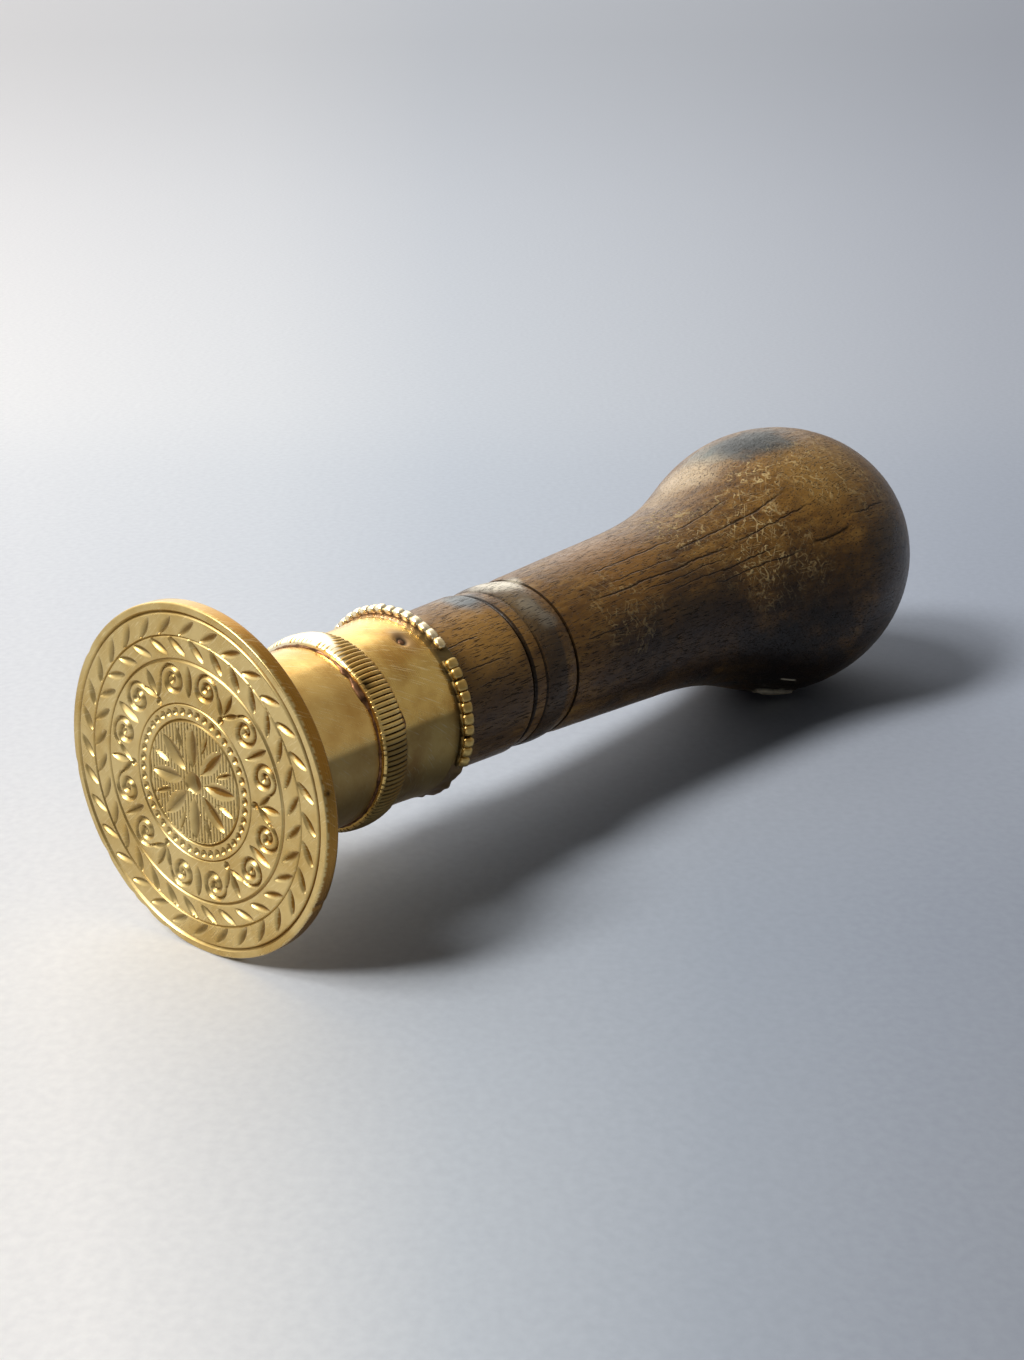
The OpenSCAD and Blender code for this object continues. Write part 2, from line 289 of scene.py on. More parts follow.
def lathe_tree() -> bpy.types.NodeTree:
    """Builds the tree that turns an outline about the axis, as a lathe does.

    Returns:
        The tree. Its outline is a row of points at station, radius and nought.
    """
    tree, given = new_tree("lathe", {
        "Outline": "Geometry", "Steps": "Int", "Wobble": "Float", "Ripple": "Float", "Seed": "Float",
        "Finish": "Material"})
    feed = given.outputs
    rings = add(tree, "GeometryNodeAttributeDomainSize", {"Geometry": feed["Outline"]}).outputs[0]
    columns = joined(tree, [feed["Steps"], 1.0], "ADD")
    grid = add(tree, "GeometryNodeMeshGrid", {
        "Size X": 1.0, "Size Y": 1.0, "Vertices X": rings, "Vertices Y": columns})
    here = add(tree, "GeometryNodeInputPosition").outputs[0]
    cell = add(tree, "ShaderNodeSeparateXYZ", {0: here})
    last = joined(tree, [rings, 1.0], "SUBTRACT")
    row = cell.outputs[0]
    for operation, other in (("ADD", 0.5), ("MULTIPLY", last), ("ROUND", 0.0)):
        row = add(tree, "ShaderNodeMath", {0: row, 1: other}, operation=operation).outputs[0]
    point = add(tree, "GeometryNodeSampleIndex", {"Geometry": feed["Outline"], "Value": here, "Index": row},
                data_type="FLOAT_VECTOR")
    drawn = add(tree, "ShaderNodeSeparateXYZ", {0: point.outputs[0]})
    station, radius = drawn.outputs[0], drawn.outputs[1]
    angle = joined(tree, [cell.outputs[1], FULL_TURN], "MULTIPLY")
    cosine, sine = (add(tree, "ShaderNodeMath", {0: angle}, operation=ratio).outputs[0]
                    for ratio in ("COSINE", "SINE"))
    x, y = (joined(tree, [radius, ratio], "MULTIPLY") for ratio in (cosine, sine))
    true = add(tree, "ShaderNodeCombineXYZ", {0: x, 1: y, 2: station}).outputs[0]
    scale = joined(tree, [1.0, feed["Ripple"]], "DIVIDE")
    noise = add(tree, "ShaderNodeTexNoise", {
        "Vector": true, "W": feed["Seed"], "Scale": scale, "Detail": 3.0}, noise_dimensions="4D").outputs[0]
    stray = joined(tree, [noise, 0.5], "SUBTRACT")
    # Nothing strays at the axis, where the outline's points meet
    share = joined(tree, [radius, 1.0], "MINIMUM")
    swing = joined(tree, [feed["Wobble"], 2.0, share, stray], "MULTIPLY")
    away = add(tree, "ShaderNodeCombineXYZ", {0: cosine, 1: sine}).outputs[0]
    worn = add(tree, "ShaderNodeVectorMath", {0: away, "Scale": swing}, operation="SCALE").outputs[0]
    place = add(tree, "ShaderNodeVectorMath", {0: true, 1: worn}, operation="ADD").outputs[0]
    swept = add(tree, "GeometryNodeSetPosition", {"Geometry": grid.outputs[0], "Position": place})
    closed = add(tree, "GeometryNodeMergeByDistance", {"Geometry": swept.outputs[0], "Distance": MERGE_MM})
    shape = laid_down(tree, closed.outputs[0], feed["Finish"])
    add(tree, "NodeGroupOutput", {0: shape})
    return tree


def round_tree() -> bpy.types.NodeTree:
    """Builds the tree that repeats one shape round the axis.

    Returns:
        The tree. Its pattern is one copy at the top of the turning frame.
    """
    tree, given = new_tree("round_the_axis", {
        "Pattern": "Geometry", "Count": "Int", "Start": "Float", "Pitch": "Float", "Stray": "Float",
        "Spread": "Float", "Centre": "Vector", "Seed": "Int", "Finish": "Material"})
    feed = given.outputs
    places = add(tree, "GeometryNodeMeshLine", {"Count": feed["Count"], "Offset": (0.0, 0.0, 0.0)})
    index = add(tree, "GeometryNodeInputIndex").outputs[0]
    low = joined(tree, [feed["Stray"], -1.0], "MULTIPLY")
    stray = add(tree, "FunctionNodeRandomValue", {2: low, 3: feed["Stray"], "Seed": feed["Seed"]}).outputs[1]
    angle = add(tree, "ShaderNodeMath", {0: index, 1: feed["Pitch"], 2: feed["Start"]},
                operation="MULTIPLY_ADD").outputs[0]
    angle = joined(tree, [angle, stray], "ADD")
    angle = add(tree, "ShaderNodeMath", {0: angle}, operation="RADIANS").outputs[0]
    turn = add(tree, "ShaderNodeCombineXYZ", {2: angle}).outputs[0]
    copies = add(tree, "GeometryNodeInstanceOnPoints", {
        "Points": places.outputs[0], "Instance": feed["Pattern"], "Rotation": turn}).outputs[0]
    least, most = (joined(tree, [1.0, feed["Spread"]], operation) for operation in ("SUBTRACT", "ADD"))
    size = add(tree, "FunctionNodeRandomValue", {0: least, 1: most, "Seed": feed["Seed"]},
               data_type="FLOAT_VECTOR").outputs[0]
    copies = add(tree, "GeometryNodeScaleInstances", {
        "Instances": copies, "Scale": size, "Center": feed["Centre"], "Local Space": True}).outputs[0]
    shape = laid_down(tree, copies, feed["Finish"])
    add(tree, "NodeGroupOutput", {0: shape})
    return tree


def grown(name: str, start: bpy.types.Mesh, tree: bpy.types.NodeTree,
          values: dict[str, Any]) -> bpy.types.Object:
    """Runs a mesh through a geometry tree and keeps the result as a plain mesh.

    Args:
        name: The piece's name.
        start: The mesh that goes in.
        tree: The tree.
        values: The tree's inputs by name.

    Returns:
        The finished piece, with no modifier left.
    """
    source = bpy.data.objects.new(name + "_start", start)
    bpy.context.scene.collection.objects.link(source)
    modifier = source.modifiers.new("grow", "NODES")
    modifier.node_group = tree
    names = {item.name: item.identifier for item in tree.interface.items_tree if item.in_out == "INPUT"}
    for label, value in values.items():
        modifier[names[label]] = value
    shaped = source.evaluated_get(bpy.context.evaluated_depsgraph_get())
    mesh = bpy.data.meshes.new_from_object(shaped)
    source.modifiers.remove(modifier)
    bpy.data.objects.remove(source)
    return placed(name, mesh)


def placed(name: str, mesh: bpy.types.Mesh) -> bpy.types.Object:
    """Puts a mesh into the scene as a piece at the origin.

    Args:
        name: The piece's name.
        mesh: Its mesh, already in place.

    Returns:
        The piece.
    """
    mesh.name = name
    piece = bpy.data.objects.new(name, mesh)
    bpy.context.scene.collection.objects.link(piece)
    return piece


def meshed(name: str, points: np.ndarray, faces: list[tuple[int, ...]],
           edges: list[tuple[int, int]] | None = None) -> bpy.types.Mesh:
    """Makes a smooth mesh from points and faces.

    Args:
        name: The mesh's name.
        points: Rows of x, y and z.
        faces: Corners of each face.
        edges: Loose edges, for an outline.

    Returns:
        The mesh.
    """
    mesh = bpy.data.meshes.new(name)
    mesh.from_pydata([tuple(p) for p in points], edges or [], faces)
    mesh.polygons.foreach_set("use_smooth", [True] * len(mesh.polygons))
    mesh.update()
    return mesh


def turned(name: str, outline: Outline, finish: bpy.types.Material, steps: int = 192, wobble: float = 0.0,
           ripple: float = 5.0, seed: float = 0.0) -> bpy.types.Object:
    """Turns an outline into a piece.

    Args:
        name: The piece's name.
        outline: Stations and radii in order, closed or ending on the axis.
        finish: The material.
        steps: Faces round the axis.
        wobble: How far the surface strays from true.
        ripple: Size of one stray of the surface.
        seed: Choice of the strays.

    Returns:
        The piece.
    """
    points = np.array([(s, r, 0.0) for s, r in outline])
    edges = [(i, i + 1) for i in range(len(outline) - 1)]
    piece = grown(name, meshed(name + "_outline", points, [], edges), LATHE, {
        "Steps": steps, "Wobble": wobble, "Ripple": ripple, "Seed": seed, "Finish": finish})
    piece.data.set_sharp_from_angle(angle=TURNED_EDGE)
    return piece


def dress(piece: bpy.types.Object, finish: bpy.types.Material, node: str) -> None:
    """Gives a piece its finish and its body, and hides the solid that it stands for.

    Args:
        piece: The piece.
        finish: Its material.
        node: The solid that it replaces.
    """
    piece.data.materials.clear()
    piece.data.materials.append(finish)
    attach(piece, BODY)
    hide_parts(node)
    LOG.info("%s stands for %s with %d faces", piece.name, node, len(piece.data.polygons))


def new_material(name: str) -> tuple[bpy.types.Material, bpy.types.NodeTree, bpy.types.Node]:
    """Starts a node material.

    Args:
        name: The material's name.

    Returns:
        The material, its tree and its Principled shader.
    """
    material = bpy.data.materials.new(name)
    material.use_nodes = True
    tree = material.node_tree
    return material, tree, tree.nodes["Principled BSDF"]


def turning_coordinates(tree: bpy.types.NodeTree) -> Socket:
    """Adds coordinates that follow the seal's axis.

    Args:
        tree: The material's tree.

    Returns:
        A vector in millimetres: station, then across towards the back, then up.
    """
    turn = Euler((0.0, -AXIS.tilt, 0.0))
    start = AXIS.origin.copy()
    start.rotate(turn)
    spot = add(tree, "ShaderNodeTexCoord").outputs["Object"]
    return add(tree, "ShaderNodeMapping", {
        "Vector": spot, "Scale": (TO_MM, TO_MM, TO_MM), "Rotation": tuple(turn),
        "Location": -start}).outputs[0]


def mottle(tree: bpy.types.NodeTree, spot: Socket, size: tuple[float, float, float], shift: float = 0.0,
           detail: float = 4.0, roughness: float = 0.55) -> Socket:
    """Adds a mottled pattern of a real size.

    Args:
        tree: The material's tree.
        spot: Coordinates in millimetres.
        size: Length of one mottle along the axis, across and up.
        shift: Moves the pattern, so that two of a size differ.
        detail: Number of finer layers.
        roughness: Strength of the finer layers.

    Returns:
        The pattern, about one half on average.
    """
    scaled = add(tree, "ShaderNodeMapping", {
        "Vector": spot, "Scale": tuple(1.0 / s for s in size), "Location": (shift, shift, shift)})
    return add(tree, "ShaderNodeTexNoise", {
        "Vector": scaled.outputs[0], "Scale": 1.0, "Detail": detail, "Roughness": roughness}).outputs[0]


def layered(tree: bpy.types.NodeTree, base: Socket, layers: list[tuple[Socket, str]]) -> Socket:
    """Lays colours over one another, each where its mask says.

    Args:
        tree: The material's tree.
        base: The colour at the bottom.
        layers: Masks and sRGB colours, from the bottom up.

    Returns:
        The colour on top.
    """
    colour = base
    for mask, code in layers:
        mixed = add(tree, "ShaderNodeMix", {
            MIX_FACTOR: mask, MIX_A: colour, MIX_B: linear(code)}, data_type="RGBA")
        colour = mixed.outputs[MIX_RESULT]
    return colour


def joined(tree: bpy.types.NodeTree, values: list[Socket | float], operation: str) -> Socket:
    """Joins several patterns or values into one.

    Args:
        tree: The tree.
        values: The patterns or values, in order.
        operation: How two of them are joined, as a Math node names it.

    Returns:
        The joined value.
    """
    whole = values[0]
    for value in values[1:]:
        whole = add(tree, "ShaderNodeMath", {0: whole, 1: value}, operation=operation).outputs[0]
    return whole


def close_to(tree: bpy.types.NodeTree, value: Socket, middle: float, reach: tuple[float, float],
             strength: float = 1.0, fade: str = "LINEAR") -> Socket:
    """Marks where a value comes close to a middle.

    Args:
        tree: The material's tree.
        value: The value.
        middle: The value in the middle of the mark.
        reach: Distances from the middle up to which the mark is full and from which there is none.
        strength: The mark's full value.
        fade: How it fades in between, as a Map Range node names it.

    Returns:
        The mark.
    """
    off = joined(tree, [value, middle], "SUBTRACT")
    away = add(tree, "ShaderNodeMath", {0: off}, operation="ABSOLUTE").outputs[0]
    return add(tree, "ShaderNodeMapRange", {
        "Value": away, "From Min": reach[0], "From Max": reach[1], "To Min": strength, "To Max": 0.0},
        interpolation_type=fade).outputs[0]


def slanted(tree: bpy.types.NodeTree, spot: Socket, size: tuple[float, float], lean: float, turn: float,
            shift: float, detail: float) -> Socket:
    """Adds a pattern of straight strokes that lie in the plane of the seal's upper front.

    Args:
        tree: The material's tree.
        spot: Coordinates in millimetres.
        size: Length and width of a stroke.
        lean: Angle of that plane from level, in degrees.
        turn: Angle of the strokes from the axis, in degrees.
        shift: Moves the pattern.
        detail: Number of finer layers.

    Returns:
        The pattern.
    """
    facing = add(tree, "ShaderNodeMapping", {
        "Vector": spot, "Rotation": (-math.radians(lean), 0.0, math.radians(turn))})
    return mottle(tree, facing.outputs[0], (*size, 2.0), shift=shift, detail=detail)


@dataclass(frozen=True)
class GiltBrass:
    """Brass that was turned, cut and gilt over fire, then rubbed by use.

    It gives the eye a warm mirror that is a little blurred, with fine lines round the axis and faint brown
    tarnishing in patches. Where a piece marks its points it also gets a dark layer, which is dark wax with
    painted shade in cuts and gaps and a painted dark reflection on the lower side, and a pale layer, which
    is coppery metal where the gilding is gone and, on the rolled gilding, a painted highlight.
    """

    name: str
    bright: str
    deep: str
    grime_and_shade: str = "#2b2012"
    copper: str = "#d0a884"
    roughness: float = 0.3
    roughness_spread: tuple[float, float] = (-0.04, 0.06)
    dulled: float = 0.35
    tarnish_mm: float = 7.0
    # Polishing lines are finer than this, and are drawn as coarse as they need to show
    line_mm: float = 0.16
    line_length_mm: float = 6.0
    line_depth_mm: float = 0.008
    scuff: str = "#fff0c4"
    scuff_mm: tuple[float, float] = (2.6, 0.14)
    scuff_lean: float = 45.0
    scuff_turn: float = 32.0
    scuffed: float = 0.25

    def scuffs(self, tree: bpy.types.NodeTree, spot: Socket) -> Socket:
        """Adds fine slanting scuffs, which show the bright metal.

        Args:
            tree: The material's tree.
            spot: Coordinates in millimetres.

        Returns:
            The mask, at its strength on a scuff.
        """
        stroke = slanted(tree, spot, self.scuff_mm, self.scuff_lean, self.scuff_turn, shift=4.4, detail=2.0)
        return add(tree, "ShaderNodeMapRange", {
            "Value": stroke, "From Min": 0.6, "From Max": 0.7, "To Max": self.scuffed}).outputs[0]

    def make(self) -> bpy.types.Material:
        """Builds the material.

        Returns:
            The material.
        """
        material, tree, shader = new_material(self.name)
        spot = turning_coordinates(tree)
        patch = mottle(tree, spot, (self.tarnish_mm,) * 3, detail=6.0, roughness=0.62)
        lines = mottle(tree, spot, (self.line_mm, self.line_length_mm, self.line_length_mm), detail=2.0)
        tint = add(tree, "ShaderNodeValToRGB", {0: patch}, stops=[
            (0.36, linear(self.deep)), (0.58, linear(self.bright))])
        # Dark layer: wax and dirt, with painted shade and a painted dark reflection; pale layer: coppery
        # metal, and on the rolled gilding a painted highlight
        dirt_and_shade = add(tree, "ShaderNodeAttribute", attribute_name=GRIME_AND_SHADE).outputs["Fac"]
        bare = add(tree, "ShaderNodeAttribute", attribute_name=COPPER_AND_HIGHLIGHT).outputs["Fac"]
        scuffed = self.scuffs(tree, spot)
        colour = layered(tree, tint.outputs[0], [
            (bare, self.copper), (scuffed, self.scuff), (dirt_and_shade, self.grime_and_shade)])
        tree.links.new(colour, shader.inputs["Base Color"])
        satin = add(tree, "ShaderNodeMapRange", {
            "Value": lines, "From Min": 0.3, "From Max": 0.7,
            "To Min": self.roughness + self.roughness_spread[0],
            "To Max": self.roughness + self.roughness_spread[1]}).outputs[0]
        worn = joined(tree, [dirt_and_shade, scuffed], "MAXIMUM")
        dull = add(tree, "ShaderNodeMath", {0: worn, 1: self.dulled, 2: satin}, operation="MULTIPLY_ADD")
        tree.links.new(dull.outputs[0], shader.inputs["Roughness"])
        relief = add(tree, "ShaderNodeBump", {
            "Height": lines, "Strength": 0.6, "Distance": self.line_depth_mm * MM})
        tree.links.new(relief.outputs[0], shader.inputs["Normal"])
        shader.inputs["Metallic"].default_value = 1.0
        return material


@dataclass(frozen=True)
class CopperSolder:
    """Hard solder run along a joint and left as it set: coppery brown, lumpy and dull, dark with old flux.
    """

    name: str = "hard_solder_as_run"
    bright: str = "#906a4e"
    deep: str = "#483122"
    lump_mm: float = 1.1
    lump_depth_mm: float = 0.06
    roughness: tuple[float, float] = (0.55, 0.4)

    def make(self) -> bpy.types.Material:
        """Builds the material.

        Returns:
            The material.
        """
        material, tree, shader = new_material(self.name)
        spot = turning_coordinates(tree)
        lumps = mottle(tree, spot, (self.lump_mm,) * 3, detail=5.0, roughness=0.65)
        tint = add(tree, "ShaderNodeValToRGB", {0: lumps}, stops=[
            (0.38, linear(self.deep)), (0.62, linear(self.bright))])
        tree.links.new(tint.outputs[0], shader.inputs["Base Color"])
        rough = add(tree, "ShaderNodeMapRange", {
            "Value": lumps, "From Min": 0.3, "From Max": 0.7,
            "To Min": self.roughness[0], "To Max": self.roughness[1]})
        tree.links.new(rough.outputs[0], shader.inputs["Roughness"])
        relief = add(tree, "ShaderNodeBump", {
            "Height": lumps, "Strength": 0.8, "Distance": self.lump_depth_mm * MM})
        tree.links.new(relief.outputs[0], shader.inputs["Normal"])
        shader.inputs["Metallic"].default_value = 1.0
        return material


@dataclass(frozen=True)
class DullCore:
    """A hidden core of forged iron or set resin cement: dull, dark and mottled."""

    name: str
    light: str
    dark: str
    metallic: float
    mottle_mm: float = 1.6
    mottle_depth_mm: float = 0.1
    roughness: float = 0.7

    def make(self) -> bpy.types.Material:
        """Builds the material.

        Returns:
            The material.
        """
        material, tree, shader = new_material(self.name)
        grain = mottle(tree, turning_coordinates(tree), (self.mottle_mm,) * 3)
        tint = add(tree, "ShaderNodeValToRGB", {0: grain}, stops=[
            (0.35, linear(self.dark)), (0.65, linear(self.light))])
        tree.links.new(tint.outputs[0], shader.inputs["Base Color"])
        relief = add(tree, "ShaderNodeBump", {
            "Height": grain, "Strength": 0.7, "Distance": self.mottle_depth_mm * MM})
        tree.links.new(relief.outputs[0], shader.inputs["Normal"])
        shader.inputs["Metallic"].default_value = self.metallic
        shader.inputs["Roughness"].default_value = self.roughness
        return material


@dataclass(frozen=True)
class Crack:
    """A split along the grain, from one station to another at an angle from the top in degrees."""

    start: float
    end: float
    angle: float
    width: float = 0.2


@dataclass(frozen=True)
class Patch:
    """A patch, by station, angle from the top in degrees, radius and size, often of another colour."""

    station: float
    angle: float
    radius: float
    size: float
    strength: float
    colour: str = ""

    def mask(self, tree: bpy.types.NodeTree, spot: Socket, edge: Socket) -> Socket:
        """Adds the patch's mask.

        Args:
            tree: The material's tree.
            spot: Coordinates in millimetres.
            edge: A pattern that frays the patch's edge.

        Returns:
            The mask, at its strength in the middle and nought outside.
        """
        angle = math.radians(self.angle)
        middle = (self.station, -self.radius * math.sin(angle), self.radius * math.cos(angle))
        away = add(tree, "ShaderNodeVectorMath", {0: spot, 1: middle}, operation="DISTANCE").outputs["Value"]
        frayed = add(tree, "ShaderNodeMath", {0: edge, 1: PATCH_FRAY * self.size, 2: away},
                     operation="MULTIPLY_ADD")
        full, ended = (share * self.size for share in PATCH_REACH)
        return add(tree, "ShaderNodeMapRange", {
            "Value": frayed.outputs[0], "From Min": full, "From Max": ended,
            "To Min": self.strength, "To Max": 0.0}, interpolation_type="SMOOTHSTEP").outputs[0]


@dataclass(frozen=True)
class Stripe:
    """A stripe of another colour round the handle, by the station of its middle and its half-width."""

    station: float
    half: float
    colour: str
    strength: float

    def mask(self, tree: bpy.types.NodeTree, station: Socket) -> Socket:
        """Adds the stripe's mask.

        Args:
            tree: The material's tree.
            station: Distance along the axis in millimetres.

        Returns:
            The mask, at its strength in the stripe and nought outside.
        """
        full, ended = (share * self.half for share in STRIPE_REACH)
        return close_to(tree, station, self.station, (full, ended), self.strength, "SMOOTHSTEP")


@dataclass(frozen=True)
class TurnedWood:
    """Fruitwood that was turned, stained brown and waxed, then scratched and handled for long.

    It gives the eye golden-brown wood with fine dark lines along the grain, a dark band, pale scratches on
    the bulb, a few open splits, a grey stain on top and a soft gloss. Shade is painted under the handle and
    into its grooves, and highlights on the bulb's shoulder and on the top of the band.
    """

    name: str = "fruitwood_turned_and_waxed"
    dark: str = "#4e341b"
    middle: str = "#785425"
    light: str = "#9a7338"
    pore: str = "#1d1309"
    scratch: str = "#d6ba82"
    bare: str = "#fff0cf"
    streak_mm: tuple[float, float] = (6.0, 1.1)
    # Pores are finer than this, and are drawn as coarse as they need to show
    grain_mm: tuple[float, float] = (1.9, 0.13)
    pit_mm: float = 0.9
    stroke_mm: tuple[float, float] = (2.8, 0.2)
    strokes: tuple[float, ...] = (-48.0, 12.0, 62.0)
    stroke_lean: float = 42.0
    curls_mm: tuple[float, ...] = (3.2, 1.9)
    clump_mm: float = 3.4
    fray_mm: float = 5.0
    # Bend of the cracks in radians, the radius for their width, and the share of their length at full width
    crack_bend: float = 0.12
    crack_r: float = 12.0
    crack_full: float = 0.7
    depth_mm: float = 0.14
    pit_share: float = 0.9
    scratch_share: float = 0.7
    roughness: tuple[float, float] = (0.26, 0.38)
    scratch_dull: float = 0.2
    specular: tuple[float, float] = (0.22, 0.04)
    scratched: tuple[Patch, ...] = (
        Patch(96.0, 16.0, 15.3, 5.0, 1.0), Patch(90.0, 34.0, 13.3, 6.5, 1.0),
        Patch(88.0, 58.0, 12.7, 5.5, 0.9), Patch(87.4, 76.0, 12.6, 4.0, 0.5),
        Patch(80.0, 28.0, 11.3, 7.0, 0.6), Patch(80.0, 2.0, 11.3, 5.0, 0.7),
        Patch(104.0, 30.0, 17.9, 7.5, 0.6), Patch(109.0, 46.0, 18.2, 6.0, 0.4),
        Patch(94.0, 67.0, 14.6, 6.0, 0.4), Patch(62.0, 56.0, 10.4, 7.0, 0.45))
    # The dark band, then near-black stripes that paint shade into the groove, the fillet's edge and the line
    stripes: tuple[Stripe, ...] = (
        Stripe(47.9, 1.85, "#352c24", 0.74), Stripe(43.9, 0.4, "#1a1109", 0.9),
        Stripe(46.1, 0.16, "#1a1109", 0.75), Stripe(51.75, 0.15, "#1a1109", 0.85))
    # Patches, in order: three paler golden ones on the upper front, partly the wood's tone and partly
    # painted light; the grey stain on the bulb and a bluish one by the groove; painted shade, near-black to
    # dark brown, under the handle and at the bulb's end; and a painted highlight on the bulb's shoulder
    patches: tuple[Patch, ...] = (
        Patch(104.0, 30.0, 17.8, 9.0, 0.75, "#947038"), Patch(66.0, 16.0, 10.6, 9.0, 0.7, "#8a5f27"),
        Patch(38.0, 40.0, 9.5, 8.0, 0.85, "#aa7e3e"), Patch(99.5, -15.0, 16.8, 5.2, 0.9, "#6a726c"),
        Patch(102.6, -6.0, 17.6, 6.0, 0.95, "#20262a"), Patch(104.4, 3.0, 18.0, 5.0, 0.92, "#22282a"),
        Patch(42.2, 1.0, 9.6, 3.0, 0.85, "#66737a"), Patch(101.0, 140.0, 17.0, 14.0, 0.9, "#070606"),
        Patch(112.0, 100.0, 18.0, 15.0, 0.75, "#1f1713"), Patch(126.0, 60.0, 9.0, 9.0, 0.75, "#271c17"),
        Patch(96.0, 86.0, 15.5, 11.0, 0.7, "#2a1d14"), Patch(76.0, 98.0, 11.0, 11.0, 0.7, "#251913"),
        Patch(88.0, 128.0, 13.0, 11.0, 0.85, "#15100d"), Patch(62.0, 94.0, 10.4, 8.0, 0.3, "#35261f"),
        Patch(80.0, 92.0, 11.5, 10.0, 0.45, "#30231c"), Patch(38.0, 98.0, 9.6, 7.0, 0.55, "#3a302a"),
        Patch(94.0, 120.0, 14.5, 10.0, 0.75, "#1a130f"), Patch(64.0, 110.0, 10.3, 9.0, 0.65, "#1d140f"),
        Patch(94.0, -20.0, 14.6, 6.0, 0.75, "#cbb088"), Patch(88.0, -24.0, 12.8, 4.5, 0.6, "#a5834f"))
    # Grey and brown rubbed places on the band, and last a nearly white painted highlight on its top
    rubs_and_highlight: tuple[Patch, ...] = (
        Patch(48.0, 16.0, 9.8, 2.8, 0.65, "#7d6540"), Patch(48.0, 38.0, 9.8, 3.0, 0.6, "#665236"),
        Patch(48.5, 30.0, 9.8, 1.9, 0.5, "#a39a86"), Patch(49.2, 44.0, 9.8, 1.5, 0.42, "#9c9484"),
        Patch(49.2, -5.0, 9.8, 3.2, 0.95, "#fff4dc"))
    cracks: tuple[Crack, ...] = (
        Crack(57.0, 86.0, 45.0), Crack(75.0, 98.0, 33.0), Crack(60.0, 78.0, 24.0, 0.15),
        Crack(70.0, 92.0, 57.0, 0.15), Crack(78.0, 95.0, 63.0, 0.14), Crack(96.0, 103.0, 62.0, 0.24),
        Crack(62.0, 76.0, 37.0, 0.13), Crack(66.0, 83.0, 51.0, 0.12), Crack(85.0, 99.0, 44.0, 0.14),
        Crack(54.0, 63.0, 68.0, 0.13), Crack(79.0, 90.0, 18.0, 0.13), Crack(104.0, 112.0, 56.0, 0.12),
        Crack(32.5, 38.0, 38.0, 0.14), Crack(33.0, 40.0, 58.0, 0.16), Crack(34.5, 41.0, 71.0, 0.14))

    def splits(self, tree: bpy.types.NodeTree, parts: bpy.types.Node, wander: Socket) -> Socket:
        """Adds the open splits along the grain.

        Args:
            tree: The material's tree.
            parts: The node that gives station, across and up.
            wander: A pattern that bends the splits.

        Returns:
            The mask, one in a split.
        """
        station, across, up = parts.outputs
        front = joined(tree, [across, -1.0], "MULTIPLY")
        angle = joined(tree, [front, up], "ARCTAN2")
        bent = add(tree, "ShaderNodeMath", {0: wander, 1: self.crack_bend, 2: angle},
                   operation="MULTIPLY_ADD").outputs[0]
        masks = []
        for crack in self.cracks:
            turn = self.crack_bend / 2.0 + math.radians(crack.angle)
            middle, half = (crack.start + crack.end) / 2.0, (crack.end - crack.start) / 2.0
            masks.append(joined(tree, [
                close_to(tree, bent, turn, (0.0, crack.width / self.crack_r)),
                close_to(tree, station, middle, (half * self.crack_full, half))], "MULTIPLY"))
        return joined(tree, masks, "MAXIMUM")

    def scratches(self, tree: bpy.types.NodeTree, spot: Socket, edge: Socket) -> Socket:
        """Adds the pale scratches, straight and crooked ones that crowd a few places.

        Args:
            tree: The material's tree.
            spot: Coordinates in millimetres.
            edge: A pattern that frays the edges of the scratched places.

        Returns:
            The mask, one on a scratch.
        """
        area = joined(tree, [patch.mask(tree, spot, edge) for patch in self.scratched], "MAXIMUM")
        clump = mottle(tree, spot, (self.clump_mm,) * 3, shift=3.7, detail=2.0)
        crowd = add(tree, "ShaderNodeMapRange", {
            "Value": clump, "From Min": 0.3, "From Max": 0.5}).outputs[0]
        strokes = []
        for shift, angle in enumerate(self.strokes):
            stroke = slanted(tree, spot, self.stroke_mm, self.stroke_lean, angle, shift=5.3 * shift,
                             detail=1.5)
            strokes.append(add(tree, "ShaderNodeMapRange", {
                "Value": stroke, "From Min": 0.65, "From Max": 0.69, "To Max": 0.6}).outputs[0])
        for shift, size in enumerate(self.curls_mm):
            swirl = mottle(tree, spot, (size,) * 3, shift=2.9 + shift, detail=2.5, roughness=0.6)
            line = close_to(tree, swirl, 0.5, (0.01, 0.024), 0.9)
            broken = mottle(tree, spot, (0.6 * size,) * 3, shift=6.1 + shift, detail=1.0)
            kept = add(tree, "ShaderNodeMapRange", {
                "Value": broken, "From Min": 0.49, "From Max": 0.56}).outputs[0]
            strokes.append(joined(tree, [line, kept], "MULTIPLY"))
        return joined(tree, [joined(tree, strokes, "MAXIMUM"), area, crowd], "MULTIPLY")

    def make(self) -> bpy.types.Material:
        """Builds the material.

        Returns:
            The material.
        """
        material, tree, shader = new_material(self.name)
        spot = turning_coordinates(tree)
        parts = add(tree, "ShaderNodeSeparateXYZ", {0: spot})
        length, width = self.streak_mm
        streaks = mottle(tree, spot, (length, width, width), detail=5.0, roughness=0.6)
        length, width = self.grain_mm
        lines = mottle(tree, spot, (length, width, width), shift=1.3, detail=2.0)
        wander = mottle(tree, spot, (self.fray_mm,) * 3, shift=7.1, detail=5.0, roughness=0.65)
        grain = add(tree, "ShaderNodeMapRange", {
            "Value": lines, "From Min": 0.58, "From Max": 0.64, "To Max": 0.78}).outputs[0]
        rubbed = self.scratches(tree, spot, wander)
        cracked = self.splits(tree, parts, wander)
        chipped = add(tree, "ShaderNodeAttribute", attribute_name=BARE).outputs["Fac"]
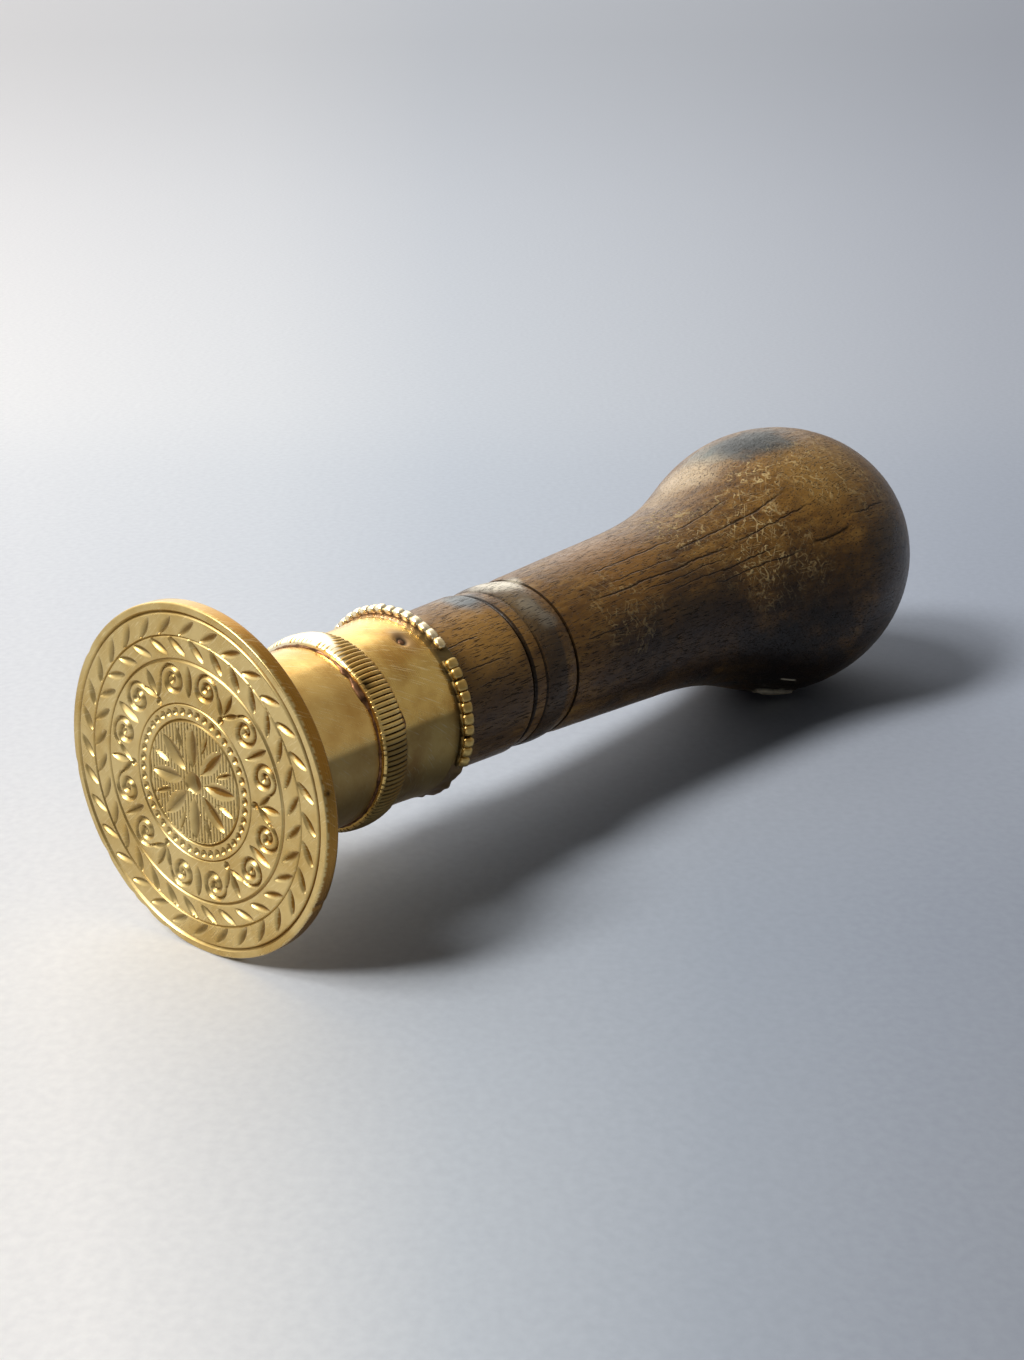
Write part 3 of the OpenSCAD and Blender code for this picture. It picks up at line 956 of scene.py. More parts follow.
        # The patches paint shade under the handle and a highlight on the shoulder, the rubbed places a
        # highlight on the band, and the thin stripes shade in the grooves
        layers = [(patch.mask(tree, spot, wander), patch.colour) for patch in self.patches]
        layers += [(stripe.mask(tree, parts.outputs[0]), stripe.colour) for stripe in self.stripes]
        layers += [(patch.mask(tree, spot, wander), patch.colour) for patch in self.rubs_and_highlight]
        layers += [(grain, self.pore), (rubbed, self.scratch), (cracked, self.pore), (chipped, self.bare)]
        base = add(tree, "ShaderNodeValToRGB", {0: streaks}, stops=[
            (0.25, linear(self.dark)), (0.5, linear(self.middle)), (0.75, linear(self.light))]).outputs[0]
        tree.links.new(layered(tree, base, layers), shader.inputs["Base Color"])
        gloss = add(tree, "ShaderNodeMapRange", {
            "Value": wander, "From Min": 0.3, "From Max": 0.7,
            "To Min": self.roughness[0], "To Max": self.roughness[1]}).outputs[0]
        gloss = add(tree, "ShaderNodeMath", {0: rubbed, 1: self.scratch_dull, 2: gloss},
                    operation="MULTIPLY_ADD").outputs[0]
        tree.links.new(gloss, shader.inputs["Roughness"])
        sunk = joined(tree, [grain, cracked], "MAXIMUM")
        pits = mottle(tree, spot, (2.0 * self.pit_mm, self.pit_mm, self.pit_mm), shift=8.3, detail=3.0)
        height = sunk
        for mask, share in ((pits, self.pit_share), (rubbed, -self.scratch_share)):
            height = add(tree, "ShaderNodeMath", {0: mask, 1: share, 2: height},
                         operation="MULTIPLY_ADD").outputs[0]
        relief = add(tree, "ShaderNodeBump", {
            "Height": height, "Strength": 0.8, "Distance": self.depth_mm * MM}, invert=True)
        tree.links.new(relief.outputs[0], shader.inputs["Normal"])
        sheen = add(tree, "ShaderNodeMapRange", {
            "Value": sunk, "To Min": self.specular[0], "To Max": self.specular[1]}).outputs[0]
        tree.links.new(sheen, shader.inputs["Specular IOR Level"])
        return material


DIE_GILT = GiltBrass("gilt_brass_engraved", "#d2ba80", "#bfa162", copper="#a87a34", roughness=0.28)
# On the sleeves and the lip the dark grey layer is mostly painted shade and a painted dark reflection of the
# floor
SLEEVE_GILT = GiltBrass("gilt_brass_polished", "#efc87a", "#cfa156", grime_and_shade="#39332a", roughness=0.22)
WORN_GILT = GiltBrass("gilt_brass_rubbed", "#eac676", "#bd914a", grime_and_shade="#39332a", roughness=0.24,
                      line_depth_mm=0.02, scuffed=0.5)
# The rolled gilding's pale layer is nearly white: a painted highlight on the ring's worn top and the upper
# beads
REED_GILT = GiltBrass("gilt_brass_rolled", "#e8c77c", "#cda052", grime_and_shade="#2c2012", copper="#fff2d0",
                      roughness=0.24, line_mm=0.6)

LATHE = lathe_tree()
ROUND = round_tree()


@dataclass
class Surface:
    """The points of a laid piece, by their station, radius and angle about the seal's axis."""

    mesh: bpy.types.Mesh
    station: np.ndarray
    radius: np.ndarray
    angle: np.ndarray

    @classmethod
    def of(cls, mesh: bpy.types.Mesh) -> "Surface":
        """Reads the points of a piece that lies in place.

        Args:
            mesh: The piece's mesh.

        Returns:
            Its points.
        """
        points = np.empty(len(mesh.vertices) * 3)
        mesh.vertices.foreach_get("co", points)
        turn = np.array(Euler(AXIS.turn).to_matrix())
        local = (points.reshape(-1, 3) * TO_MM - np.array(AXIS.origin)) @ turn
        return cls(mesh, local[:, 2], np.hypot(local[:, 0], local[:, 1]),
                   np.degrees(np.arctan2(-local[:, 1], -local[:, 0])))

    def near(self, place: tuple[float, float], reach: tuple[float, float]) -> np.ndarray:
        """Finds a soft spot round one place.

        Args:
            place: Station, and angle from the top in degrees.
            reach: Half-length of the spot along the axis and half-width round it.

        Returns:
            One in the middle of the spot, falling to nought.
        """
        along = (self.station - place[0]) / reach[0]
        across = np.radians(apart(self.angle, place[1])) * self.radius / reach[1]
        return np.exp(-along ** 2 - across ** 2)

    def between(self, first: float, last: float, soft: float = 6.0) -> np.ndarray:
        """Finds the stretch between two angles.

        Args:
            first: The first angle from the top in degrees.
            last: The last angle.
            soft: Degrees over which the stretch fades out.

        Returns:
            One inside the stretch and nought outside.
        """
        middle, half = (first + last) / 2.0, (last - first) / 2.0
        return np.clip((half - np.abs(apart(self.angle, middle))) / soft + 0.5, 0.0, 1.0)

    def ripple(self, *waves: tuple[float, float, float]) -> np.ndarray:
        """Adds up waves round the axis, each of a height, a count and a start."""
        return sum(height * np.sin(count * np.radians(self.angle) + start) for height, count, start in waves)

    def mark(self, name: str, values: np.ndarray) -> None:
        """Keeps values on the points for the finish to read."""
        layer = self.mesh.attributes.get(name) or self.mesh.attributes.new(name, "FLOAT", "POINT")
        layer.data.foreach_set("value", np.clip(values, 0.0, 1.0).astype(np.float32))

    def move(self, radius: np.ndarray) -> None:
        """Moves the points to new radii, none below the floor.

        Args:
            radius: Distances from the axis.
        """
        place = AXIS.lay(round_place(self.station, radius, np.radians(self.angle)))
        place[:, 2] = np.maximum(place[:, 2], 0.0)
        self.mesh.vertices.foreach_set("co", place.astype(np.float32).ravel())
        self.mesh.update()
        self.radius = radius


@dataclass
class EngravedDie:
    """The disc that is pressed into the wax, with a wreath, scrolls and a rosette cut into its face."""

    thickness: float = 1.8
    bevel: float = 0.25
    depth: float = 0.42
    border_inset: float = 1.0
    line_width: float = 0.42
    ground: float = 0.5
    wreath_count: int = 32
    leaf_length: float = 3.0
    leaf_width: float = 1.05
    leaf_lean: float = 52.0
    stem_gap: float = 0.13
    scroll_count: int = 6
    scroll_r: float = 10.75
    scroll_width: float = 0.85
    scroll_steps: int = 90
    scroll_turn: tuple[float, float] = (-100.0, 560.0)
    scroll_reach: tuple[float, float] = (0.26, 1.5)
    scroll_eye: tuple[float, float] = (-0.15, 0.46)
    scroll_eye_r: float = 0.5
    # Small leaves between the scrolls: place off their ring, length, width, lean, share of half a step, turn
    sprigs: tuple[tuple[float, ...], ...] = (
        (0.2, 3.4, 1.2, 0.0, 0.0, 0.0), (0.5, 2.8, 1.1, 0.0, 1.0, 0.0), (-0.3, 2.4, 0.8, 38.0, 1.0, 0.08),
        (-0.3, 2.4, 0.8, -38.0, 1.0, -0.08))
    bud_inset: float = 1.65
    bud_r: float = 0.42
    pearl_count: int = 44
    pearl_r: float = 0.42
    pearl_line_gap: float = 0.8
    petal_count: int = 8
    petal_length: float = 4.6
    petal_width: float = 1.9
    petal_gap: float = 0.4
    eye_r: float = 1.2
    sepal: tuple[float, float, float] = (1.1, 2.5, 0.75)
    hatch_pitch: float = 0.46
    hatch_depth: float = 0.2
    hatch_inset: float = 0.2
    # How dark the hatching and the other cuts are: dark wax, and painted shade that grows with a cut's depth
    hatch_wax_and_shade: float = 0.9
    cut_wax_and_shade: float = 0.65
    sway: float = 0.003
    nicks: tuple[tuple[float, float, float], ...] = (
        (196.0, 1.6, 0.16), (207.0, 2.4, 0.2), (214.0, 1.2, 0.14), (231.0, 2.0, 0.18), (262.0, 1.5, 0.12),
        (118.0, 1.4, 0.1), (305.0, 1.8, 0.1))
    dot_place: tuple[float, float] = (0.7, 79.0)
    dot_size: float = 0.3
    copper_rim: tuple[float, float] = (0.0, 150.0)
    # Zones of the face from the middle out: first radius, points in a ring, distance of the rings
    zones: tuple[tuple[float, int, float], ...] = ((0.0, 192, 0.09), (3.4, 384, 0.09), (8.6, 768, 0.1285))
    side_steps: int = 5
    back_ring: float = 0.6

    @cached_property
    def radius(self) -> float:
        """The disc's outer radius, from the frame."""
        return AXIS.span("seal_die")[2]

    @property
    def wreath_half(self) -> float:
        """Half the width of the wreath."""
        return self.stem_gap + self.leaf_length * math.cos(math.radians(self.leaf_lean))

    @property
    def wreath_r(self) -> float:
        """The radius of the wreath's stem."""
        return self.radius - self.border_inset - self.ground - self.wreath_half

    @property
    def petal_middle_r(self) -> float:
        """The radius of the petals' middles."""
        return self.eye_r + self.petal_gap + self.petal_length / 2.0

    @property
    def rosette_edge_r(self) -> float:
        """The radius of the line round the rosette."""
        return self.petal_middle_r + self.petal_length / 2.0 + self.ground

    @staticmethod
    def fold(theta: np.ndarray, count: int, offset: float = 0.0) -> np.ndarray:
        """Folds angles into one share of a pattern that repeats count times."""
        step = FULL_TURN / count
        return (theta - offset + step / 2.0) % step - step / 2.0

    def leaves(self, rho: np.ndarray, theta: np.ndarray, count: int, middle: float, length: float,
               width: float, lean: float = 0.0, offset: float = 0.0) -> np.ndarray:
        """Cuts a ring of pointed leaves, each with two slopes that meet in a vein.

        Args:
            rho: Distances from the middle of the face.
            theta: Angles round the face.
            count: Number of leaves.
            middle: Radius of the leaves' middles.
            length: Length of a leaf.
            width: Width of a leaf.
            lean: Angle of a leaf from the radius, in degrees.
            offset: Angle of the first leaf.

        Returns:
            Depths from nought to one.
        """
        angle = self.fold(theta, count, offset)
        turn = math.radians(lean)
        u, v = rho * np.cos(angle) - middle, rho * np.sin(angle)
        along = u * math.cos(turn) + v * math.sin(turn)
        across = v * math.cos(turn) - u * math.sin(turn)
        taper = np.clip(1.0 - (2.0 * along / length) ** 2, 0.0, 1.0) ** 0.8
        half = np.maximum(width / 2.0 * taper, 1e-6)
        return np.clip(1.0 - np.abs(across) / half, 0.0, 1.0) * np.sqrt(taper)

    def ring_line(self, rho: np.ndarray, radius: float, width: float) -> np.ndarray:
        """Cuts a ring line with sloping sides, in depths from nought to one."""
        return np.clip(1.0 - np.abs(rho - radius) / (width / 2.0), 0.0, 1.0)

    def pearls(self, rho: np.ndarray, theta: np.ndarray, count: int, middle: float, radius: float,
               offset: float = 0.0) -> np.ndarray:
        """Cuts a ring of round hollows.

        Args:
            rho: Distances from the middle of the face.
            theta: Angles round the face.
            count: Number of hollows.
            middle: Radius of the ring.
            radius: Radius of one hollow.
            offset: Angle of the first hollow.

        Returns:
            Depths from nought to one.
        """
        angle = self.fold(theta, count, offset)
        far = np.hypot(rho * np.cos(angle) - middle, rho * np.sin(angle)) / radius
        return np.sqrt(np.clip(1.0 - far ** 2, 0.0, 1.0))

    def scrolls(self, rho: np.ndarray, theta: np.ndarray) -> np.ndarray:
        """Cuts mirrored scrolls, each a spiral that opens into a long tail.

        Args:
            rho: Distances from the middle of the face.
            theta: Angles round the face.

        Returns:
            Depths from nought to one.
        """
        share = math.pi / self.scroll_count
        angle = np.abs(self.fold(theta, self.scroll_count))
        x, y = rho * np.cos(angle), rho * np.sin(angle)
        t = np.linspace(0.0, 1.0, self.scroll_steps)
        first, sweep = (math.radians(turn) for turn in self.scroll_turn)
        turn = first + t * sweep
        reach = self.scroll_reach[0] + self.scroll_reach[1] * t ** 0.9
        out, side = self.scroll_eye
        eye = np.array([self.scroll_r + out, self.scroll_r * math.sin(share) * side])
        line = eye + reach[:, None] * np.stack([np.cos(turn), np.sin(turn)], axis=1)
        width = self.scroll_width * (0.45 + 0.55 * np.sin(math.pi * np.clip(t * 0.9 + 0.1, 0.0, 1.0)))
        cut = np.zeros_like(rho)
        for (px, py), w in zip(line, width):
            cut = np.maximum(cut, 1.0 - np.hypot(x - px, y - py) / (w / 2.0))
        eyes = 1.0 - np.hypot(x - eye[0], y - eye[1]) / self.scroll_eye_r
        return np.clip(np.maximum(cut, eyes), 0.0, 1.0)

    def cuts(self, rho: np.ndarray, theta: np.ndarray) -> tuple[np.ndarray, np.ndarray]:
        """Works out how deep the face is cut, and how dark the cuts are painted with wax and shade.

        Args:
            rho: Distances from the middle of the face.
            theta: Angles round the face.

        Returns:
            Depths in millimetres, and the dark of wax and painted shade, from nought to one.
        """
        border = self.radius - self.border_inset
        medallion = self.wreath_r - self.wreath_half - self.ground
        pearl_ring = self.rosette_edge_r + self.ground + self.pearl_r
        row = (self.wreath_half + self.stem_gap) / 2.0
        half_leaf = math.pi / self.wreath_count
        lines = np.maximum.reduce([
            self.ring_line(rho, radius, self.line_width * width) * depth for radius, width, depth in (
                (border, 1.0, 0.8), (medallion, 1.0, 0.8), (pearl_ring + self.pearl_line_gap, 0.6, 0.5),
                (self.rosette_edge_r, 0.8, 0.7), (self.wreath_r, 0.7, 0.55))])
        wreath = np.maximum.reduce([
            self.leaves(rho, theta, self.wreath_count, self.wreath_r + side * row, self.leaf_length,
                        self.leaf_width, side * self.leaf_lean, offset)
            for side, offset in ((1.0, 0.0), (-1.0, half_leaf))])
        half_scroll = math.pi / self.scroll_count
        buds = self.pearls(rho, theta, self.scroll_count, self.scroll_r - self.bud_inset, self.bud_r,
                           half_scroll)
        band = np.maximum.reduce([self.scrolls(rho, theta), buds] + [
            self.leaves(rho, theta, self.scroll_count, self.scroll_r + out, length, width, lean,
                        share * half_scroll + turn)
            for out, length, width, lean, share, turn in self.sprigs])
        pearls = self.pearls(rho, theta, self.pearl_count, pearl_ring, self.pearl_r) * 0.8
        half_petal = math.pi / self.petal_count
        out, length, width = self.sepal
        rosette = np.maximum.reduce([
            self.leaves(rho, theta, self.petal_count, self.petal_middle_r, self.petal_length,
                        self.petal_width),
            self.leaves(rho, theta, self.petal_count, self.petal_middle_r + out, length, width, 0.0,
                        half_petal) * 0.8,
            self.pearls(rho, theta, 1, 0.0, self.eye_r)])
        cut = np.maximum.reduce([lines, wreath, band, pearls, rosette])
        hatch = np.clip(np.abs((rho * np.sin(theta) / self.hatch_pitch) % 1.0 - 0.5) * 4.0 - 1.0, 0.0, 1.0)
        ground = (rho < self.rosette_edge_r - self.hatch_inset) & (rosette < 0.02)
        hatch = np.where(ground, hatch, 0.0)
        # Dark wax and painted shade, darker where a cut is deeper
        grime_and_shade = np.maximum(self.cut_wax_and_shade * cut, self.hatch_wax_and_shade * hatch)
        return np.maximum(cut * self.depth, hatch * self.hatch_depth), grime_and_shade

    def rings(self) -> list[tuple[float, float, int, bool]]:
        """Lists the rings of points that make the disc, from the middle of the face to its back.

        Returns:
            For each ring its radius, its station, its number of points and whether it is engraved.
        """
        edge = self.radius - self.bevel
        ends = [zone[0] for zone in self.zones[1:]] + [edge]
        rings: list[tuple[float, float, int, bool]] = []
        for (inner, count, step), outer in zip(self.zones, ends):
            steps = round((outer - inner) / step)
            rings += [(inner + (outer - inner) * (i + 1) / steps, 0.0, count, True) for i in range(steps)]
        last = self.zones[-1][1]
        slope = [(math.sin(a) * self.bevel, (1.0 - math.cos(a)) * self.bevel) for a in ROUNDING]
        rings += [(edge + out, down, last, False) for out, down in slope]
        side = np.linspace(self.bevel, self.thickness - self.bevel, self.side_steps + 1)[1:-1]
        rings += [(self.radius, station, last, False) for station in side]
        rings += [(edge + out, self.thickness - down, last, False) for out, down in reversed(slope)]
        rings += [(edge * share, self.thickness, last, False) for share in (1.0, self.back_ring)]
        return rings

    def build(self) -> bpy.types.Mesh:
        """Builds the disc as rings of points, with the cuts in its face.

        Returns:
            The mesh, laid down in place.
        """
        edge = self.radius - self.bevel
        rings = self.rings()
        points = [round_place(self.depth, 0.0, np.zeros(1))]
        grime_and_shade = [np.zeros(1)]
        starts, counts = [], []
        size = 1
        for radius, station, count, cut in rings:
            theta = np.arange(count) * FULL_TURN / count
            worn = np.full(count, radius)
            rim = np.clip((radius - edge) / self.bevel + 1.0, 0.0, 1.0)
            for angle, width, bite in self.nicks:
                worn -= bite * np.exp(-(apart(np.degrees(theta), angle) / width) ** 2) * rim
            depth, dark = self.cuts(worn, theta) if cut else (np.zeros(count), np.zeros(count))
            sway = self.sway * np.sin(worn * 1.9 + 2.0 * np.sin(theta * 3.0)) * np.cos(theta * 5.0 + worn)
            points.append(round_place(station + depth + (sway if cut else 0.0), worn, theta))
            grime_and_shade.append(dark)
            starts.append(size)
            counts.append(count)
            size += count
        points.append(round_place(self.thickness, 0.0, np.zeros(1)))
        grime_and_shade.append(np.zeros(1))
        faces: list[tuple[int, ...]] = [
            (0, starts[0] + j, starts[0] + (j + 1) % counts[0]) for j in range(counts[0])]
        for i in range(len(rings) - 1):
            faces += self.stitched(starts[i], counts[i], starts[i + 1], counts[i + 1])
        faces += [(size, starts[-1] + (j + 1) % counts[-1], starts[-1] + j) for j in range(counts[-1])]
        mesh = meshed("engraved_die", AXIS.lay(np.concatenate(points)), faces)
        surface = Surface.of(mesh)
        side = surface.station > self.bevel
        dot = surface.near(self.dot_place, (self.dot_size, self.dot_size)) * side
        surface.mark(GRIME_AND_SHADE, np.maximum(np.concatenate(grime_and_shade), dot))
        surface.mark(COPPER_AND_HIGHLIGHT, surface.between(*self.copper_rim, soft=40.0) * side)
        return mesh

    @staticmethod
    def stitched(inner: int, few: int, outer: int, many: int) -> list[tuple[int, ...]]:
        """Joins one ring of points to the next, which has as many points or twice as many.

        Args:
            inner: First point of the inner ring.
            few: Its number of points.
            outer: First point of the outer ring.
            many: Its number of points.

        Returns:
            The faces between the rings.
        """
        faces: list[tuple[int, ...]] = []
        for j in range(few):
            a, b = inner + j, inner + (j + 1) % few
            if few == many:
                faces.append((a, outer + j, outer + (j + 1) % many, b))
            else:
                c, d, e = (outer + (2 * j + k) % many for k in range(3))
                faces += [(a, c, d), (a, d, b), (b, d, e)]
        return faces

    def dress(self) -> None:
        """Builds the disc and gives it its gilding."""
        piece = placed("engraved_die", self.build())
        piece.data.set_sharp_from_angle(angle=CUT_EDGE)
        dress(piece, DIE_GILT.make(), "seal_die")


def outwards(mesh: bpy.types.Mesh) -> bpy.types.Mesh:
    """Merges a mesh's doubles and turns its faces outwards.

    Args:
        mesh: A closed mesh.

    Returns:
        The same mesh.
    """
    work = bmesh.new()
    work.from_mesh(mesh)
    bmesh.ops.remove_doubles(work, verts=work.verts, dist=1e-5)
    bmesh.ops.recalc_face_normals(work, faces=work.faces)
    work.to_mesh(mesh)
    work.free()
    return mesh


def looped(name: str, points: np.ndarray, ends: bool = False) -> bpy.types.Mesh:
    """Skins rows of points, each row a closed loop.

    Args:
        name: The mesh's name.
        points: Places by row, point and axis.
        ends: Whether the first and last row are capped; otherwise they are joined to each other.

    Returns:
        The mesh, with its faces outwards.
    """
    rows, sides = points.shape[:2]
    faces: list[tuple[int, ...]] = []
    for i in range(rows - 1 if ends else rows):
        a, b = i * sides, (i + 1) % rows * sides
        faces += [(a + k, a + (k + 1) % sides, b + (k + 1) % sides, b + k) for k in range(sides)]
    if ends:
        faces += [tuple(range(sides - 1, -1, -1)), tuple(range((rows - 1) * sides, rows * sides))]
    return outwards(meshed(name, points.reshape(-1, 3), faces))


@dataclass(frozen=True)
class Seam:
    """One seam of solder along the ring: node, side, and angle, half-width and breadth of its lumps."""

    node: str
    towards: float
    lumps: tuple[tuple[float, float, float], ...]


@dataclass
class Collar:
    """The soldered collar: two sleeves, a reeded ring over their joint, seams of solder and a flared lip."""

    wall: float = 0.9
    # How far the front sleeve swells at its foot, behind the foot and at its middle
    sleeve_swell: tuple[float, float, float] = (0.05, 0.02, 0.04)
    foot_length: float = 1.0
    flare_power: float = 2.5
    flare_shares: tuple[float, ...] = (0.3, 0.5, 0.7, 0.85, 1.0)
    # A painted dark reflection of the shaded floor on the sleeves' lower side: how dark, and the angles of
    # that side
    lower_painted_reflection: float = 0.56
    lower_side_angles: tuple[float, float] = (78.0, 210.0)
    ring_edge: float = 0.35
    reed_count: int = 116
    reed_r: float = 0.27
    reed_steps: int = 12
    reed_sides: int = 8
    reed_sunk: float = 0.8
    reed_overrun: float = 4.0
    # Dark layer on the reeds: faint dirt all round, and the painted shade that the lower side adds
    reed_dirt_and_shade: tuple[float, float] = (0.1, 0.62)
    core_inset: float = 0.02
    # The ring's top, worn smooth and painted pale as a highlight: where it starts, where it ends at the
    # front and at the back, and how soft its two edges are
    worn_highlight_from: float = -75.0
    worn_highlight_to: tuple[float, float] = (32.0, -6.0)
    worn_highlight_soft: tuple[float, float] = (8.0, 16.0)
    worn_rise: float = 0.02
    plain_edge: float = 0.1
    plain_soft: float = 0.05
    bruise: tuple[float, float] = (17.5, 45.0)
    bruise_size: tuple[float, float] = (0.9, 0.8)
    lip_edge: float = 0.3
    lip_round: float = 0.15
    lip_hollow: float = 0.4
    lip_thickness: float = 0.3
    lip_step: float = 0.1
    # Waves of the bare lip: size, count round the ring and start
    lip_waves: tuple[tuple[float, float, float], ...] = (
        (0.1, 13.0, 0.4), (0.08, 29.0, 1.0), (0.05, 47.0, 2.0))
    lip_worn: float = 0.12
    # Painted shade on the lip, growing out towards its edge: at its root and at most
    lip_shade: tuple[float, float] = (0.6, 0.85)
    bare_grime: float = 0.62
    bare_copper: float = 0.6
    bare_lip: tuple[float, float] = (112.0, 212.0)
    copper_lip: tuple[float, float] = (-85.0, 18.0)
    pin_r: float = 0.42
    pin_angle: float = 24.0
    pin_inset: float = 2.0
    pin_count: int = 2
    pin_depth: float = 2.0
    pin_head: float = 0.06
    pin_crown: float = 0.12
    pin_sides: int = 16
    pit_size: tuple[float, float] = (0.6, 0.7)
    pit_depth: float = 0.3
    smear_shift: tuple[float, float] = (0.3, -2.0)
    smear_size: tuple[float, float] = (0.8, 1.7)
    smear_grime: float = 0.55
    smear_copper: float = 0.7
    seam_least: float = 0.15
    seam_steps: int = 540
    # Across a seam, from under the ring: share of its breadth and of its height
    seam_profile: tuple[tuple[float, float], ...] = (
        (-0.4, -0.2), (-0.4, 1.0), (0.0, 1.0), (0.35, 0.85), (0.65, 0.6), (0.88, 0.3), (1.0, -0.2))
    seam_sunk: float = 0.2
    # Height of a seam of no breadth, and what each millimetre of breadth adds
    seam_height: tuple[float, float] = (0.14, 0.28)
    # Ripples of a seam: size, count round the ring, and shift in radians for each millimetre of its station
    breadth_ripples: tuple[tuple[float, float, float], ...] = ((0.05, 23.0, 1.0), (0.04, 41.0, 2.0))
    height_ripple: tuple[float, float, float] = (0.02, 57.0, 1.0)
    front_seam: Seam = Seam("ring_seam_front", 1.0, (
        (-30.0, 35.0, 0.08), (31.0, 3.5, 0.5), (47.0, 8.0, 0.6), (110.0, 22.0, 0.12), (160.0, 20.0, 0.3),
        (235.0, 30.0, 0.3)))
    rear_seam: Seam = Seam("ring_seam_rear", -1.0, (
        (72.0, 6.0, 0.5), (50.0, 14.0, 0.16), (-20.0, 30.0, 0.12), (140.0, 20.0, 0.3), (215.0, 25.0, 0.3)))

    @property
    def sleeve_r(self) -> float:
        """The outer radius of the sleeves, from the frame."""
        return AXIS.span("front_sleeve")[2]

    def sleeves(self) -> None:
        """Builds both sleeves, with a sunk pit over each pin."""
        start, end, radius = AXIS.span("front_sleeve")
        bore = radius - self.wall
        foot, behind, middle = (radius + swell for swell in self.sleeve_swell)
        front = [(start, bore), (start, foot), (start + self.foot_length, behind),
                 ((start + end) / 2.0, middle), (end, radius), (end, bore), (start, bore)]
        polish = SLEEVE_GILT.make()
        piece = turned("front_sleeve_shell", refined(front, 0.7), polish, steps=288, wobble=0.02, ripple=6.0,
                       seed=1.0)
        surface = Surface.of(piece.data)
        # The lower side is painted dark as a reflection of the shaded floor
        surface.mark(GRIME_AND_SHADE, self.lower_painted_reflection * surface.between(*self.lower_side_angles, soft=3.0))
        dress(piece, polish, "front_sleeve")
        start, end, flare = AXIS.span("rear_sleeve")
        length = end - start
        rear = [(start, bore), (start, radius)]
        rear += [(start + length * t, radius + (flare - radius) * t ** self.flare_power)
                 for t in self.flare_shares]
        rear += [(end, bore), (start, bore)]
        rubbed = WORN_GILT.make()
        piece = turned("rear_sleeve_shell", refined(rear, 0.25), rubbed, steps=400, wobble=0.035, ripple=5.0,
                       seed=2.0)
        surface = Surface.of(piece.data)
        outside = surface.radius > radius - self.wall / 2.0
        pit, smear = np.zeros(len(outside)), np.zeros(len(outside))
        for i in range(self.pin_count):
            place = (end - self.pin_inset, self.pin_angle + i * 360.0 / self.pin_count)
            pit = np.maximum(pit, np.clip(1.7 * surface.near(place, self.pit_size), 0.0, 1.0) * outside)
            beside = (place[0] + self.smear_shift[0], place[1] + self.smear_shift[1])
            smear = np.maximum(smear, surface.near(beside, self.smear_size) * outside)
        # The lower side is painted dark as a reflection of the shaded floor
        dull = self.lower_painted_reflection * surface.between(*self.lower_side_angles, soft=3.0)
        surface.mark(GRIME_AND_SHADE, np.maximum.reduce([pit, self.smear_grime * smear, dull]))
        surface.mark(COPPER_AND_HIGHLIGHT, self.smear_copper * smear)
        surface.move(surface.radius - self.pit_depth * pit)
        dress(piece, rubbed, "rear_sleeve")

    def ring(self) -> None:
        """Builds the ring: a core and the reeds on it, worn smooth on top, where a highlight is painted,
        and dark with wax and painted shade on the core between the reeds.
        """
        start, end, radius = AXIS.span("reeded_ring")
        middle = (start + end) / 2.0
        low = self.sleeve_r + self.ring_edge
        half, height = (end - start) / 2.0, radius - low
        sunk = self.reed_sunk * self.reed_r
        arch = arc((middle, low), (half - self.core_inset, height - sunk), 180.0, 0.0, 2 * self.reed_steps)
        core = [(start, self.sleeve_r)] + arch + [(end, self.sleeve_r), (start, self.sleeve_r)]
        rolled = REED_GILT.make()
        piece = turned("ring_core", core, rolled, steps=464, seed=3.0)
        surface = Surface.of(piece.data)
        share = np.clip((surface.station - start) / (end - start), 0.0, 1.0)
        last = self.worn_highlight_to[0] + (self.worn_highlight_to[1] - self.worn_highlight_to[0]) * share
        angle = apart(surface.angle, 0.0)
        worn = np.clip((last - angle) / self.worn_highlight_soft[1] + 0.5, 0.0, 1.0)
        worn *= np.clip((angle - self.worn_highlight_from) / self.worn_highlight_soft[0] + 0.5, 0.0, 1.0)
        # Painted highlight: the worn top is painted nearly white
        surface.mark(COPPER_AND_HIGHLIGHT, worn)
        worn = np.maximum(worn, np.clip((self.plain_edge - share) / self.plain_soft + 0.5, 0.0, 1.0))
        crest = (surface.radius - low) / (height - sunk)
        # Dark wax and painted shade on the core between the reeds, left off the worn top and the front edge
        surface.mark(GRIME_AND_SHADE, 1.0 - worn)
        surface.move(surface.radius + worn * (sunk + self.worn_rise) * np.clip(crest, 0.0, 1.0))
        dress(piece, rolled, "reeded_ring")
        path = arc((middle, low), (half - self.reed_r, height - self.reed_r), 180.0 + self.reed_overrun,
                   -self.reed_overrun, self.reed_steps)
        piece = grown("ring_reeds", self.reed(path), ROUND, {
            "Count": self.reed_count, "Start": 0.0, "Pitch": 360.0 / self.reed_count, "Stray": 0.12,
            "Spread": 0.03, "Centre": (-radius, 0.0, middle), "Seed": 5, "Finish": rolled})
        surface = Surface.of(piece.data)
        # Reeds painted dark on the lower side, as a reflection of the shaded floor, and at a bruise
        dull = self.reed_dirt_and_shade[0] + self.reed_dirt_and_shade[1] * surface.between(*self.lower_side_angles, soft=12.0)
        surface.mark(GRIME_AND_SHADE, np.maximum(surface.near(self.bruise, self.bruise_size), dull))
        dress(piece, rolled, "reeded_ring")

